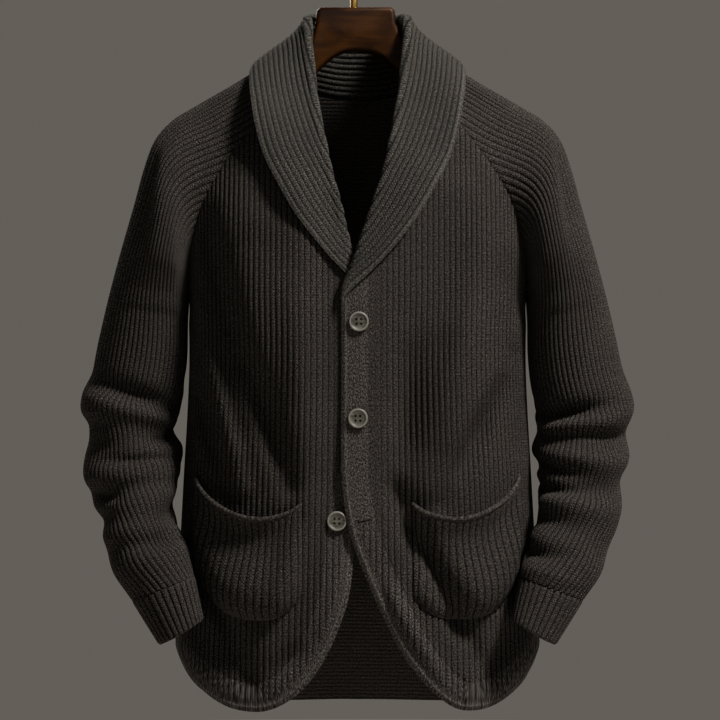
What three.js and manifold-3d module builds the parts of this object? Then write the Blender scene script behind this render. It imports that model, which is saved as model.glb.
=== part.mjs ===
// Shawl collar cardigan in heavy ribbed wool, hanging on a wooden hanger, as a standalone three.js model.
// Millimetres, +Z up. The front faces -Y and +X is the wearer's left.
// The origin is the point inside the hook's bend where the rail bears.
import * as THREE from "three";
import { mergeVertices } from "three/addons/utils/BufferGeometryUtils.js";
import Module from "manifold-3d";

const wasm = await Module();
wasm.setup();

// The rows of a table as objects with its named columns
function table(columns, rows) {
  const names = columns.split(" ");
  return rows.map((row) => Object.fromEntries(names.map((name, column) => [name, row[column]])));
}

// Driving dimensions of the knit
const WALL = 2.4; // the knit under its ribs
const RIB_HEIGHT = 1.6;
const REAL_RIB_PITCH = 6.4;
const RIBS_IN_ONE = 2; // raised ribs stand for this many knitted ones, to stay inside a sensible face count
const RIB_PITCH = REAL_RIB_PITCH * RIBS_IN_ONE;
const SEAM = 0.3; // left open between two pieces that are sewn together
const RIBS_TO_A_PLAIN_COLUMN = 3; // the plain inside is coarser than the ribbed outside

// Driving dimensions of the garment
const GARMENT_X = 4; // it hangs a little off the hanger's middle
const UNDERARM_Z = -418;
const UNDERARM_HALF_WIDTH = 190;
const BODY_SQUARENESS = 2.25; // 2 is an ellipse, more is boxier
const BAND_WIDTH = 30;
const CUFF_RIBS_IN_HALF = 7;

const BUTTON_RADIUS = 11;
const BUTTON_THICKNESS = 3.6;
const BUTTON_HOLE_RADIUS = 1.3;
const BUTTON_HOLE_OFFSET = 2.6;
const BUTTON_LIFT = 0.9; // clear of the band it is buttoned over
const LOOSE_BUTTON_LIFT = 3.2; // clear of the band and of the ribs beside it
const BUTTONHOLE_LENGTH = 15;
const BUTTONHOLE_HEIGHT = 1.6;

const HANGER_TOP_Z = -88;
const HANGER_DEPTH = 22;
const HANGER_BEVEL = 5;
const HOOK_WIRE_RADIUS = 2.5;
const HOOK_INNER_RADIUS = 25;
const FERRULE_RADIUS = 4.2;
const FERRULE_HEIGHT = 14;
const HOOK_SIDES = 8;
const HANGER_BLOCK_X = 2;

// Faces: rows along each piece
const FRONT_ROWS = 11;
const BACK_ROWS = 10;
const CAP_ROWS = 8;
const ARM_ROWS = 15;
const COLLAR_ROWS = 28;
const BAND_ROWS = 36;
const BAND_FINENESS = 4; // places worked out for each row of a band
const POCKET_ROWS = 7;
const CUFF_ROWS = 3;
const BUTTON_SIDES = 18;
const BUTTON_HOLE_SIDES = 6;
const FERRULE_SIDES = 16;

// Working steps: how far apart two places are whose difference gives a slope
const ALONG_STEP = 0.004; // share of a piece's length
const ACROSS_STEP = 1.5;
const BAND_STEP = 0.05; // share of a band's width
const END_CLEARANCE = 0.4; // the least part of a column's width that is left beside a wall's edge
const SAME_PLACE = 1e-6;

// Body sections: half width, depth in front of and behind the side seam, at each height
const BODY = table("z width front back", [
  [-900, 205, 127, 118], [-800, 204, 126, 118], [-720, 200, 124, 114],
  [-610, 194, 120, 110], [-540, 190, 119, 111], [-480, 188, 121, 114],
  [-418, 190, 122, 118], [-370, 195, 120, 118], [-330, 196, 115, 115],
  [-281, 184, 104, 107], [-226, 152, 82, 93], [-178, 126, 54, 76],
  [-140, 112, 34, 58],
]);

// Raglan sleeve: its top line, its front and back seams (x and z on the body) and how full each section is.
// From the underarm down both seams are the one underarm seam, and underY is its place in depth.
const SLEEVE = table("along topX topY topZ frontX frontZ backX backZ reach forward ribs", [
  [0, 80, 0, -143, 74, -179, 67, -159, 24, 0.1, 5.5],
  [1, 111, 0, -159, 92, -199, 90, -190, 34, 0.12, 6],
  [2, 146, 0, -180, 113, -226, 113, -221, 41, 0.16, 6.7],
  [3, 181, 0, -200, 135, -254, 136, -253, 43, 0.22, 7.6],
  [4, 208, 0, -217, 154, -281, 155, -283, 51, 0.32, 8.7],
  [5, 227, 0, -239, 169, -309, 170, -313, 60, 0.46, 10],
  [6, 239, 0, -270, 180, -338, 181, -343, 69, 0.62, 11.6],
  [7, 250, 0, -310, 186.5, -367, 187, -371, 78, 0.8, 13],
  [8, 263, 0, -355, 189.2, -394, 189.2, -396, 84, 0.94, 14],
]);
const ARM = table("along topX topY topZ underX underY underZ reach forward ribs", [
  [9, 276, 1, -401, 191.5, 0, -418, 86, 1.1, 14.6],
  [10, 288, 2, -450, 195, 2, -462, 84, 1.22, 14.2],
  [11, 297, 2, -494, 197, 3, -502, 82, 1.12, 13.9],
  [12, 307, 0, -536, 201, 1, -540, 80, 1, 13.6],
  [13, 306, -6, -574, 199, -5, -570, 78, 1, 13.3],
  [14, 304, -14, -612, 202, -14, -598, 77, 1, 12.8],
  [15, 297, -26, -648, 203, -28, -626, 74, 1, 12],
  [16, 284, -42, -684, 199, -48, -656, 70, 1, 11],
  [17, 269.5, -58, -719, 189, -70, -690, 64, 1, 9.8],
  [18, 248, -76, -748, 180, -88, -722, 53, 1, 8.6],
]);
const CUFF = table("along topX topY topZ underX underY underZ reach", [
  [0, 247.4, -76.4, -748.9, 179.6, -88.4, -722.9, 51.5],
  [1, 231, -88, -773, 174, -98, -747, 47],
  [2, 215, -99, -796, 169, -106, -769, 44],
]);

// Creases of a sleeve: place along it, degrees round from the top line (to the front is positive), how far
// each reaches along and round, and how high it stands. A negative height is a trough. side is 1 for the left
// sleeve only, -1 for the right one and 0 for both.
const SLEEVE_FOLDS = table("along round long wide height slant side", [
  [12.1, 40, 0.55, 75, 5, 0.006, 0],
  [12.9, 150, 0.42, 60, -13, 0, 0],
  [13.1, 40, 0.5, 60, -8, 0.007, 0],
  [13.9, 120, 0.5, 70, 7, 0.004, 0],
  [14.5, 70, 0.45, 70, -7, -0.004, 0],
  [14.2, 0, 0.5, 45, -9, 0, 1],
  [14.2, 0, 0.5, 40, 2, 0, -1],
  [15.2, 110, 0.5, 60, 6, 0.004, 0],
  [15.9, 140, 0.45, 50, -7, 0, 0],
  [16.4, 30, 0.5, 45, -4, 0, 0],
  [16.9, 90, 0.5, 60, 4, 0, 0],
  [12.8, -110, 0.5, 60, -6, 0.004, 0],
  [14.0, -80, 0.5, 60, 5, -0.004, 0],
  [15.3, -120, 0.5, 55, -6, 0.003, 0],
  [6.6, 62, 1.6, 20, -7, 0, 0],
]);

const FOLD_DRIFT = 0.12; // how far the right sleeve's creases lie from the left sleeve's

// Folds of the body as soft lines on the front, seen from the front: from, to, half width and height
const FRONT_FOLDS = table("fromX fromZ toX toZ wide height", [
  [172, -330, 132, -560, 20, -9],
  [140, -330, 96, -600, 24, 7],
  [176, -480, 182, -620, 20, -6],
  [186, -770, 110, -845, 16, -5],
  [196, -800, 140, -862, 16, 4],
  [62, -660, 86, -800, 22, -5],
]);
const BACK_FOLDS = table("fromX fromZ toX toZ wide height", [
  [20, -300, 34, -640, 30, -6],
  [-70, -330, -52, -700, 26, -6],
  [110, -420, 90, -760, 30, -7],
  [-130, -420, -112, -720, 26, -6],
  [-20, -520, -16, -860, 26, 6],
  [150, -470, 160, -800, 24, 6],
]);

// Neckline of a front and of the back, seen from the front: where the collar is sewn on
const FRONT_NECK = table("x z", [
  [-33, -423.5], [-18, -408], [-3, -392.5], [12, -377],
  [21, -360], [36, -319], [49.5, -271], [58, -240],
  [66, -208], [74, -179],
]);
const BACK_NECK = table("x z", [
  [0, -184], [22, -183.4], [45, -178.5], [56, -170],
  [67, -159],
]);

// Edge of each front from the neck down the buttons and round the cutaway to the side seam, as pairs of x
// towards its own side and z
const LEFT_EDGE = [
  [-18, -408], [-18, -440], [-18, -520], [-18, -600], [-15, -640], [-7, -680], [5, -712], [22, -752],
  [46, -800], [74, -838], [102, -862], [126, -868], [154, -862], [182, -843], [197, -822], [204, -803],
];
const RIGHT_EDGE = [
  [-21, -408], [-21, -440], [-21, -500], [-20, -560], [-10, -612], [0, -655], [4, -700], [10, -745],
  [24, -786], [44, -824], [68, -851], [98, -867], [128, -868], [154, -860], [180, -842], [197, -822],
  [204, -803],
];
const HEM_BACK = table("round z", [
  [0, -884], [40, -882], [60, -868], [78, -832],
  [90, -803],
]);

// How far the right front lies back under the left one at each height
const UNDERLAP = table("z depth", [
  [-800, 0], [-740, 1], [-690, 7], [-640, 9],
  [-549, 5], [-444, 5], [-392, 11], [-340, 12],
  [-300, 4], [-270, 0],
]);
const UNDERLAP_FULL_X = 22;
const UNDERLAP_END_X = 64;

// Section of a front band: shares across it and how far each stands up, highest in a small rolled bead
const BAND_PROFILE = table("across lift", [[0, 0], [0.06, 1.1], [0.14, 0.4], [0.55, 0.4], [1, 0]]);
const BAND_INNER_COLUMNS = [0, 0.5, 1];

// Shawl collar from the middle of the back neck to the front: where it is sewn on, its roll line and its
// loose edge. face is the way its stand looks, in degrees from +X towards +Y, and body is how thick the knit is.
const COLLAR = table("along neckX rollX rollY rollZ edgeX edgeY edgeZ face body right", [
  [0, 0, 0, 60, -97, 0, 108, -188, 90, 1, 0],
  [1, 22, 20, 57.5, -97, 38, 104.5, -187, 75, 1, 0],
  [2, 45, 36, 48, -96, 73, 91, -183, 57, 1, 0],
  [3, 67, 46, 36, -95, 97, 72, -177, 40, 1, 0],
  [4, 76, 54, 14, -96.5, 115, 34, -164, 14, 1, 0],
  [5, 81, 56, -12, -105, 119, -8, -159, -12, 1, 0],
  [6, 79, 54, -34, -136, 119, -46, -177, -32, 1, 0],
  [7, 74, 50, -53, -172, 117, -72, -199, -46, 1, 0],
  [8, 65, 45, -71, -208, 112, -87, -228, -56, 1, 0],
  [9, 56, 38, -89, -243, 102, -97, -262, -66, 1, 0],
  [10, 47, 31, -101, -277, 86, -112, -294, -72, 1, 0],
  [11, 36, 18.5, -110, -315, 67, -120, -327, -77, 0.95, 2],
  [12, 21, 5, -117, -353, 42, -124.5, -360, -82, 0.85, 6],
  [13, 6, -6, -120.5, -384, 15, -125, -389, -86, 0.7, 8],
  [14, -12, -15.5, -122, -404.5, -11, -125, -414, -88, 0.5, 1],
]);
const COLLAR_ROLL_RADIUS = 2.6;
// How the fall bulges below the roll and above its loose edge, in shares of its length
const FALL_LEAVES = { down: 0.3, out: 0.13 };
const FALL_ARRIVES = { back: 0.35, out: 0.12 };
const COLLAR_AT_BACK_SEAM = 3; // places along the collar where it passes the back and front raglan seams
const COLLAR_AT_FRONT_SEAM = 7;

// Patch pocket: its mouth and foot at each place across, x towards its own side
const POCKET = table("x mouthZ footZ", [
  [60, -640, -742], [74, -649, -758], [96, -656, -768],
  [122, -653, -768], [148, -640, -760], [167, -624, -738],
  [177, -612, -716],
]);
const POCKET_FULLNESS = 17; // how far its mouth stands open in the middle
const POCKET_BEAD = 1.2; // the rolled edge of its mouth

// Half section of a button and of the hook's ferrule
const BUTTON_PROFILE = table("radius height", [
  [0, 0],
  [BUTTON_RADIUS - 2.5, 0],
  [BUTTON_RADIUS, 1.6],
  [BUTTON_RADIUS - 0.6, BUTTON_THICKNESS - 0.4],
  [BUTTON_RADIUS - 1.8, BUTTON_THICKNESS],
  [BUTTON_RADIUS - 4.2, BUTTON_THICKNESS - 1.2],
  [0, BUTTON_THICKNESS - 1.2],
]);
const FERRULE_PROFILE = table("radius height", [
  [0, 0],
  [FERRULE_RADIUS, 0],
  [FERRULE_RADIUS, FERRULE_HEIGHT],
  [HOOK_WIRE_RADIUS, FERRULE_HEIGHT + 2],
  [0, FERRULE_HEIGHT + 2],
]);

const BUTTONS = [
  { name: "button_top", x: 1.5, z: -444, onLeft: true },
  { name: "button_middle", x: 0.5, z: -549, onLeft: true },
  { name: "button_bottom", x: -22, z: -661, onLeft: false },
];
const BUTTONHOLES = [
  { x: 2, z: -444 },
  { x: 1, z: -549 },
  { x: 8, z: -661 },
];

// The hook's rod: its stem as pairs of x and z, and its bend in degrees from +X towards +Z
const HOOK_STEM = [[0, HANGER_TOP_Z + SEAM], [0, -78], [0, -70], [4, -61]];
const HOOK_BEND = { from: -66, to: 196, step: 18 };

// The hanger's outline from the middle out: its block, the top of an arm and the underside of an arm
const HANGER_BLOCK = table("x z", [
  [0, -88], [40, -88], [44, -92], [45, -106],
]);
const HANGER_ARM = table("x z", [
  [52, -124], [63, -141], [74, -149.5], [83, -152.5],
  [111, -163.6], [146, -184.2], [181, -204.6], [197, -216],
  [201, -221],
]);
const HANGER_FOOT = table("x z", [
  [0, -136.5], [14, -138.5], [28, -145], [42, -157],
  [54, -169], [80, -184], [120, -204], [160, -225],
  [184, -236], [196, -231],
]);

const clamp = THREE.MathUtils.clamp;
const lerp = THREE.MathUtils.lerp;
const smooth = (value, from, to) => THREE.MathUtils.smoothstep(value, from, to);
const radians = THREE.MathUtils.degToRad;
const vector = (x, y, z) => new THREE.Vector3(x, y, z);

// A smooth curve through a table: the other columns at any value of the key column
function through(rows, key) {
  const columns = Object.keys(rows[0]).filter((name) => name !== key);
  return (value) => {
    const at = clamp(value, rows[0][key], rows.at(-1)[key]);
    let i = 0;
    while (i < rows.length - 2 && at > rows[i + 1][key]) i++;
    const before = rows[Math.max(i - 1, 0)];
    const [from, to] = [rows[i], rows[i + 1]];
    const after = rows[Math.min(i + 2, rows.length - 1)];
    const span = to[key] - from[key];
    const t = (at - from[key]) / span;
    const found = {};
    for (const name of columns) {
      const leaving = ((to[name] - before[name]) / (to[key] - before[key])) * span;
      const arriving = ((after[name] - from[name]) / (after[key] - from[key])) * span;
      found[name] =
        (2 * t ** 3 - 3 * t ** 2 + 1) * from[name] +
        (t ** 3 - 2 * t ** 2 + t) * leaving +
        (3 * t ** 2 - 2 * t ** 3) * to[name] +
        (t ** 3 - t ** 2) * arriving;
    }
    return found;
  };
}

const bodyAt = through(BODY, "z");
const frontNeckAt = through(FRONT_NECK, "x");
const backNeckAt = through(BACK_NECK, "x");
const hemBackAt = through(HEM_BACK, "round");
const underlapAt = through(UNDERLAP, "z");
const collarAt = through(COLLAR, "along");
const pocketAt = through(POCKET, "x");
const cuffAt = through(CUFF, "along");

// Distance round the body at the underarm, from the middle of the front, against the angle round it
const QUARTER_STEPS = 90;
const quarter = [{ mm: 0, angle: 0 }];
for (let i = 1; i <= QUARTER_STEPS; i++) {
  const angleOf = (step) => (step / QUARTER_STEPS) * (Math.PI / 2);
  const [a, b] = [i - 1, i].map((step) => sectionPoint(angleOf(step), bodyAt(UNDERARM_Z)));
  quarter.push({ mm: quarter.at(-1).mm + a.distanceTo(b), angle: (i / QUARTER_STEPS) * (Math.PI / 2) });
}
const QUARTER_MM = quarter.at(-1).mm;

function sectionPoint(angle, section) {
  const sine = Math.sin(angle);
  const depth = (1 - Math.abs(sine) ** BODY_SQUARENESS) ** (1 / BODY_SQUARENESS);
  return vector(section.width * sine, -section.front * depth, 0);
}

function angleAt(mm) {
  const place = clamp(Math.abs(mm), 0, QUARTER_MM);
  const i = Math.max(1, quarter.findIndex((row) => row.mm >= place));
  const t = (place - quarter[i - 1].mm) / (quarter[i].mm - quarter[i - 1].mm);
  return Math.sign(mm) * lerp(quarter[i - 1].angle, quarter[i].angle, t);
}

function mmAt(angle) {
  const step = (clamp(Math.abs(angle), 0, Math.PI / 2) / (Math.PI / 2)) * QUARTER_STEPS;
  const i = Math.min(Math.floor(step), QUARTER_STEPS - 1);
  return Math.sign(angle) * lerp(quarter[i].mm, quarter[i + 1].mm, step - i);
}

// Half width that turns an angle into x: the body's own below the underarm, and straight up from there
const spreadAt = (z) => (z < UNDERARM_Z ? bodyAt(z).width : UNDERARM_HALF_WIDTH);

function foldHeight(folds, x, z) {
  let height = 0;
  for (const fold of folds) {
    const [dx, dz] = [fold.toX - fold.fromX, fold.toZ - fold.fromZ];
    const t = clamp(((x - fold.fromX) * dx + (z - fold.fromZ) * dz) / (dx * dx + dz * dz), 0, 1);
    const off = Math.hypot(x - fold.fromX - t * dx, z - fold.fromZ - t * dz) / fold.wide;
    height += fold.height * Math.exp(-off * off) * Math.sin(Math.PI * clamp(t, 0.12, 0.88));
  }
  return height;
}

// A point of the body at x and z. facing is -1 in front and 1 behind.
function bodyAtX(facing, x, z) {
  const section = bodyAt(z);
  const share = clamp(Math.abs(x) / section.width, 0, 1);
  const deep = (1 - share ** BODY_SQUARENESS) ** (1 / BODY_SQUARENESS);
  const depth = facing < 0 ? section.front : section.back;
  const fold = foldHeight(facing < 0 ? FRONT_FOLDS : BACK_FOLDS, x, z) * smooth(deep, 0.02, 0.45);
  return vector(x, facing * (depth * deep + fold), z);
}

const bodyAtMm = (facing, mm, z) => bodyAtX(facing, spreadAt(z) * Math.sin(angleAt(mm)), z);

// The way a surface faces at a point, from points a little to each side
function normalOf(at, u, v, step, sign) {
  const along = at(u + step.u, v).sub(at(u - step.u, v));
  const across = at(u, v + step.v).sub(at(u, v - step.v));
  return along.cross(across).normalize().multiplyScalar(sign);
}

// Joins two rows of points with triangles. Each row has its points and where each lies across the piece.
function zip(faces, from, to) {
  let [i, j] = [0, 0];
  while (i < from.ids.length - 1 || j < to.ids.length - 1) {
    const isNearer = i < from.ids.length - 1 && from.at[i + 1] <= to.at[j + 1] + SAME_PLACE;
    if (j === to.ids.length - 1 || isNearer) faces.push([from.ids[i], to.ids[j], from.ids[++i]]);
    else faces.push([from.ids[i], to.ids[j], to.ids[++j]]);
  }
}

// A wall of cloth from rows of outer points and rows of inner points, closed round its four sides
function wall(outerRows, innerRows) {
  const points = [];
  const faces = [];
  const numbered = (rows) =>
    rows.map((row) => ({ at: row.map((p) => p.at), ids: row.map((p) => points.push(p.point) - 1) }));
  const [outer, inner] = [numbered(outerRows), numbered(innerRows)];
  const turned = [];
  for (let i = 0; i + 1 < outer.length; i++) {
    zip(faces, outer[i], outer[i + 1]);
    zip(turned, inner[i], inner[i + 1]);
  }
  const share = ({ ids, at }) => ({ ids, at: at.map((x) => (x - at[0]) / (at.at(-1) - at[0])) });
  zip(turned, share(outer[0]), share(inner[0]));
  zip(faces, share(outer.at(-1)), share(inner.at(-1)));
  const side = (rows, end) => ({ ids: rows.map((row) => row.ids.at(end)), at: rows.map((_, i) => i) });
  zip(faces, side(outer, 0), side(inner, 0));
  zip(turned, side(outer, -1), side(inner, -1));
  faces.push(...turned.map(([a, b, c]) => [a, c, b]));
  return closedGeometry(points, faces);
}

function closedGeometry(points, faces) {
  const cornerVolume = ([a, b, c]) => points[a].dot(points[b].clone().cross(points[c]));
  const volume = faces.reduce((sum, face) => sum + cornerVolume(face), 0);
  const index = faces.flatMap(([a, b, c]) => (volume < 0 ? [a, c, b] : [a, b, c]));
  const geometry = new THREE.BufferGeometry();
  const numbers = points.flatMap((p) => p.toArray());
  geometry.setAttribute("position", new THREE.Float32BufferAttribute(numbers, 3));
  geometry.setIndex(index);
  return geometry;
}

// A ribbed wall. at(s, across) is its surface and the ribs run along s. limits(s) are its two sides, base(s)
// how far the rib bottoms and inside(s) the plain side lie out from that surface, and height(s) how high the
// ribs are.
function ribbedWall(piece) {
  const { rows, at, limits, sign, edgeNormal } = piece;
  const { pitch = RIB_PITCH, height = () => RIB_HEIGHT, base = () => 0, inside = () => -WALL } = piece;
  const { plainEvery = RIBS_TO_A_PLAIN_COLUMN } = piece;
  const half = pitch / 2;
  const step = { u: ALONG_STEP, v: ACROSS_STEP };
  const facing = (s, across) => {
    const fixed = edgeNormal && edgeNormal(s, across);
    const [low, high] = limits(s);
    const within = clamp(across, low + step.v, high - step.v);
    return fixed || normalOf(at, clamp(s, step.u, 1 - step.u), within, step, sign);
  };
  const [outerRows, innerRows] = [[], []];
  for (let i = 0; i <= rows; i++) {
    const s = i / rows;
    const [low, high] = limits(s);
    const clear = half * END_CLEARANCE;
    const places = [low];
    for (let k = Math.ceil((low + clear) / half); k * half < high - clear; k++) places.push(k * half);
    places.push(high);
    const isEnd = (across) => across === low || across === high;
    const isCrest = (across) => !isEnd(across) && Math.round(across / half) % 2 !== 0;
    const moved = (across, by) => at(s, across).addScaledVector(facing(s, across), by);
    const lifted = (across, by) => ({ at: across, point: moved(across, by) });
    const ribAt = (across) => (isCrest(across) ? height(s, across) : 0);
    const kept = (across) => isEnd(across) || Math.round(across / half) % plainEvery === 0;
    outerRows.push(places.map((across) => lifted(across, base(s) + ribAt(across))));
    innerRows.push(places.filter(kept).map((across) => lifted(across, inside(s))));
  }
  return wall(outerRows, innerRows);
}

const neckEdge = (x) => frontNeckAt(x - 3 * SEAM).z - 3 * SEAM;

// Edge, band and lower boundary of one front, laid out flat as distance round the body and height
function frontPattern(edge) {
  const flat = edge.map(([x, z]) => new THREE.Vector2(mmAt(Math.asin(clamp(x / spreadAt(z), -1, 1))), z));
  const line = new THREE.SplineCurve(flat);
  const stations = [];
  const count = BAND_ROWS * BAND_FINENESS;
  for (let i = 0; i <= count; i++) {
    const u = i / count;
    const outer = line.getPointAt(u);
    const tangent = line.getTangentAt(u);
    const across = new THREE.Vector2(-tangent.y, tangent.x);
    across.lerp(new THREE.Vector2(0, 1), smooth(u, 0.8, 1)).normalize();
    const inner = outer.clone().addScaledVector(across, BAND_WIDTH);
    stations.push({ outer, inner });
  }
  const straight = stations[Math.round(count * 0.12)].inner.x;
  const bend = stations.findIndex((station, i) => i > count * 0.12 && station.inner.x > straight + 1);
  for (const station of stations.slice(0, bend)) station.inner.x = straight;
  stations.forEach((station, i) => {
    const blend = (1 - smooth(i / count, 0, 0.1)) ** 2;
    for (const end of [station.outer, station.inner]) {
      end.x = Math.min(end.x, QUARTER_MM - SEAM / 2);
      end.y += blend * (neckEdge(end.x) - stations[0].outer.y) * (end === station.inner ? 1 : 0);
    }
  });
  stations[0].outer.y = neckEdge(stations[0].outer.x);
  const rows = stations.filter((_, n) => n % BAND_FINENESS === 0);
  const top = rows[Math.floor(bend / BAND_FINENESS)].inner.y;
  const crossing = (mm) => {
    const i = rows.findLastIndex((station) => station.inner.x < mm);
    if (i < 0) return top;
    if (mm > QUARTER_MM - 1 || i === rows.length - 1) return rows.at(-1).inner.y;
    const [a, b] = [rows[i].inner, rows[i + 1].inner];
    return lerp(a.y, b.y, (mm - a.x) / (b.x - a.x));
  };
  const foot = (mm) => Math.max(crossing(mm - 7 * SEAM), crossing(mm), crossing(mm + 3 * SEAM));
  return { stations, straight, foot };
}

const sleeveTable = [
  ...SLEEVE.map((row) => ({ ...row, underY: 0 })),
  ...ARM.map(({ underX: x, underZ: z, ...row }) => ({ ...row, frontX: x, frontZ: z, backX: x, backZ: z })),
];
const sleeveAt = through(sleeveTable, "along");
const UNDERARM = ARM[0].along;
const SLEEVE_END = ARM.at(-1).along;

// Front or back raglan seam of a sleeve as a point on the body
function raglanSeam(facing, along) {
  const row = sleeveAt(along);
  return facing < 0 ? bodyAtX(-1, row.frontX, row.frontZ) : bodyAtX(1, row.backX, row.backZ);
}

// Where a raglan seam crosses x
function raglanZ(facing, x) {
  const name = facing < 0 ? "frontX" : "backX";
  let [low, high] = [0, UNDERARM];
  for (let i = 0; i < 24; i++) {
    const middle = (low + high) / 2;
    if (sleeveAt(middle)[name] < x) low = middle;
    else high = middle;
  }
  return sleeveAt(low)[facing < 0 ? "frontZ" : "backZ"];
}

// Top of a panel just short of the neckline and of the raglan seam
function panelTop(facing, mm) {
  const x = UNDERARM_HALF_WIDTH * Math.sin(angleAt(mm));
  const seamStart = facing < 0 ? SLEEVE[0].frontX : SLEEVE[0].backX;
  if (Math.abs(x) > seamStart) return raglanZ(facing, Math.abs(x) + 2 * SEAM) - SEAM;
  return facing < 0 ? neckEdge(x) : backNeckAt(Math.abs(x)).z - 2 * SEAM;
}

// One front, knitted to its band, with x towards its own side. under is 1 for the front that lies beneath.
const underlap = (point, under) => {
  const back = underlapAt(point.z).depth * (1 - smooth(point.x, UNDERLAP_FULL_X, UNDERLAP_END_X));
  return under ? point.add(vector(0, back, 0)) : point;
};

// Ribs lie flat where the sleeve and the body face each other under the arm
const clearOfUnderarm = ({ x, z }) => 1 - smooth(Math.abs(x), 172, 184) * smooth(z, -450, -425);

function frontPanel(pattern, under) {
  const at = (s, mm) => {
    const place = clamp(mm, pattern.straight + SEAM, QUARTER_MM - SEAM / 2);
    const gap = SEAM * (2 + 2 * smooth(place, QUARTER_MM * 0.55, QUARTER_MM * 0.75));
    const z = lerp(pattern.foot(place) + gap, panelTop(-1, place), s);
    return underlap(bodyAtMm(-1, place, z), under);
  };
  return ribbedWall({
    rows: FRONT_ROWS,
    at,
    limits: () => [pattern.straight + SEAM, QUARTER_MM - SEAM / 2],
    height: (s, mm) => RIB_HEIGHT * clearOfUnderarm(at(s, mm)),
    sign: -1,
  });
}

function backPanel() {
  const high = QUARTER_MM - SEAM / 2;
  const at = (s, mm) => {
    const place = clamp(mm, -high, high);
    const round = Math.abs(THREE.MathUtils.radToDeg(angleAt(place)));
    const z = lerp(hemBackAt(round).z, panelTop(1, place), s);
    return bodyAtMm(1, place, z);
  };
  return ribbedWall({
    rows: BACK_ROWS,
    at,
    limits: () => [-high, high],
    height: (s, mm) => RIB_HEIGHT * clearOfUnderarm(at(s, mm)),
    sign: 1,
  });
}

// Front band: a strip along the edge of a front
function bandPoint(pattern, under, s, across) {
  const place = s * (pattern.stations.length - 1);
  const i = Math.min(Math.floor(place), pattern.stations.length - 2);
  const [a, b] = [pattern.stations[i], pattern.stations[i + 1]];
  const outer = a.outer.clone().lerp(b.outer, place - i);
  const inner = a.inner.clone().lerp(b.inner, place - i);
  const flat = outer.lerp(inner, across);
  return underlap(bodyAtMm(-1, flat.x, flat.y), under);
}

function frontBand(pattern, under) {
  const at = (s, across) => bandPoint(pattern, under, clamp(s, 0, 1), clamp(across, 0, 1));
  const step = { u: ALONG_STEP, v: BAND_STEP };
  const [outer, inner] = [[], []];
  for (let i = 0; i <= BAND_ROWS; i++) {
    const s = i / BAND_ROWS;
    const within = (place, end) => clamp(place, end, 1 - end);
    const facing = (c) => normalOf(at, within(s, step.u), within(c, step.v), step, 1);
    const lifted = (c, by) => ({ at: c, point: at(s, c).addScaledVector(facing(c), by) });
    outer.push(BAND_PROFILE.map(({ across, lift }) => lifted(across, lift)));
    inner.push(BAND_INNER_COLUMNS.map((across) => lifted(across, -WALL)));
  }
  return wall(outer, inner);
}

// Sleeve section: from the front seam (-1) over the top line (0) to the back seam (1)
function sleeveSection(row, front, back, forward) {
  const top = vector(row.topX, row.topY, row.topZ);
  return (across) => {
    const facing = across < 0 ? -1 : 1;
    const seam = across < 0 ? front : back;
    const ahead = vector(0, facing, 0);
    const rise = top.clone().sub(seam).normalize();
    const leave = rise.lerp(ahead, forward).normalize();
    const curve = new THREE.CubicBezierCurve3(
      top,
      top.clone().addScaledVector(ahead, row.reach),
      seam.clone().addScaledVector(leave, row.reach),
      seam,
    );
    return curve.getPoint(Math.abs(across));
  };
}

function sleeveFold(along, across, side) {
  const round = across * -180;
  let height = 0;
  for (const fold of SLEEVE_FOLDS) {
    if (fold.side === -side) continue;
    const place = fold.along + (side > 0 ? 0 : FOLD_DRIFT * Math.sin(fold.round));
    const apart = Math.abs(((round - fold.round + 540) % 360) - 180);
    const off = (along - place - fold.slant * apart * Math.sign(round - fold.round)) / fold.long;
    height += fold.height * Math.exp(-off * off - (apart / fold.wide) ** 2);
  }
  return height;
}

// A point of a sleeve without its ribs, x towards its own side
function sleevePoint(along, across, side) {
  const row = sleeveAt(along);
  const onArm = along >= UNDERARM;
  const under = (facing) => vector(row.frontX, row.underY + (facing * SEAM) / 2, row.frontZ);
  const front = onArm ? under(-1) : raglanSeam(-1, along);
  const back = onArm ? under(1) : raglanSeam(1, along);
  const section = sleeveSection(row, front, back, row.forward);
  const point = section(across);
  const [before, after] = [section(clamp(across - 0.02, -1, 1)), section(clamp(across + 0.02, -1, 1))];
  const downward = vector(row.topX, row.topY, row.topZ).sub(sleeveTop(along - 0.15));
  const out = after.sub(before).cross(downward).normalize();
  const half = (a, b) => (a + b) / 2;
  const centre = vector(half(row.topX, row.frontX), half(row.topY, row.underY), half(row.topZ, row.frontZ));
  if (out.dot(point.clone().sub(centre)) < 0) out.negate();
  const nearSeam = onArm ? 1 : smooth(1 - Math.abs(across), 0, 0.25);
  return point.addScaledVector(out, sleeveFold(along, across, side) * nearSeam);
}

function sleeveTop(along) {
  const row = sleeveAt(Math.max(along, -1));
  return along < 0 ? vector(row.topX - 4, row.topY, row.topZ + 2) : vector(row.topX, row.topY, row.topZ);
}

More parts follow.
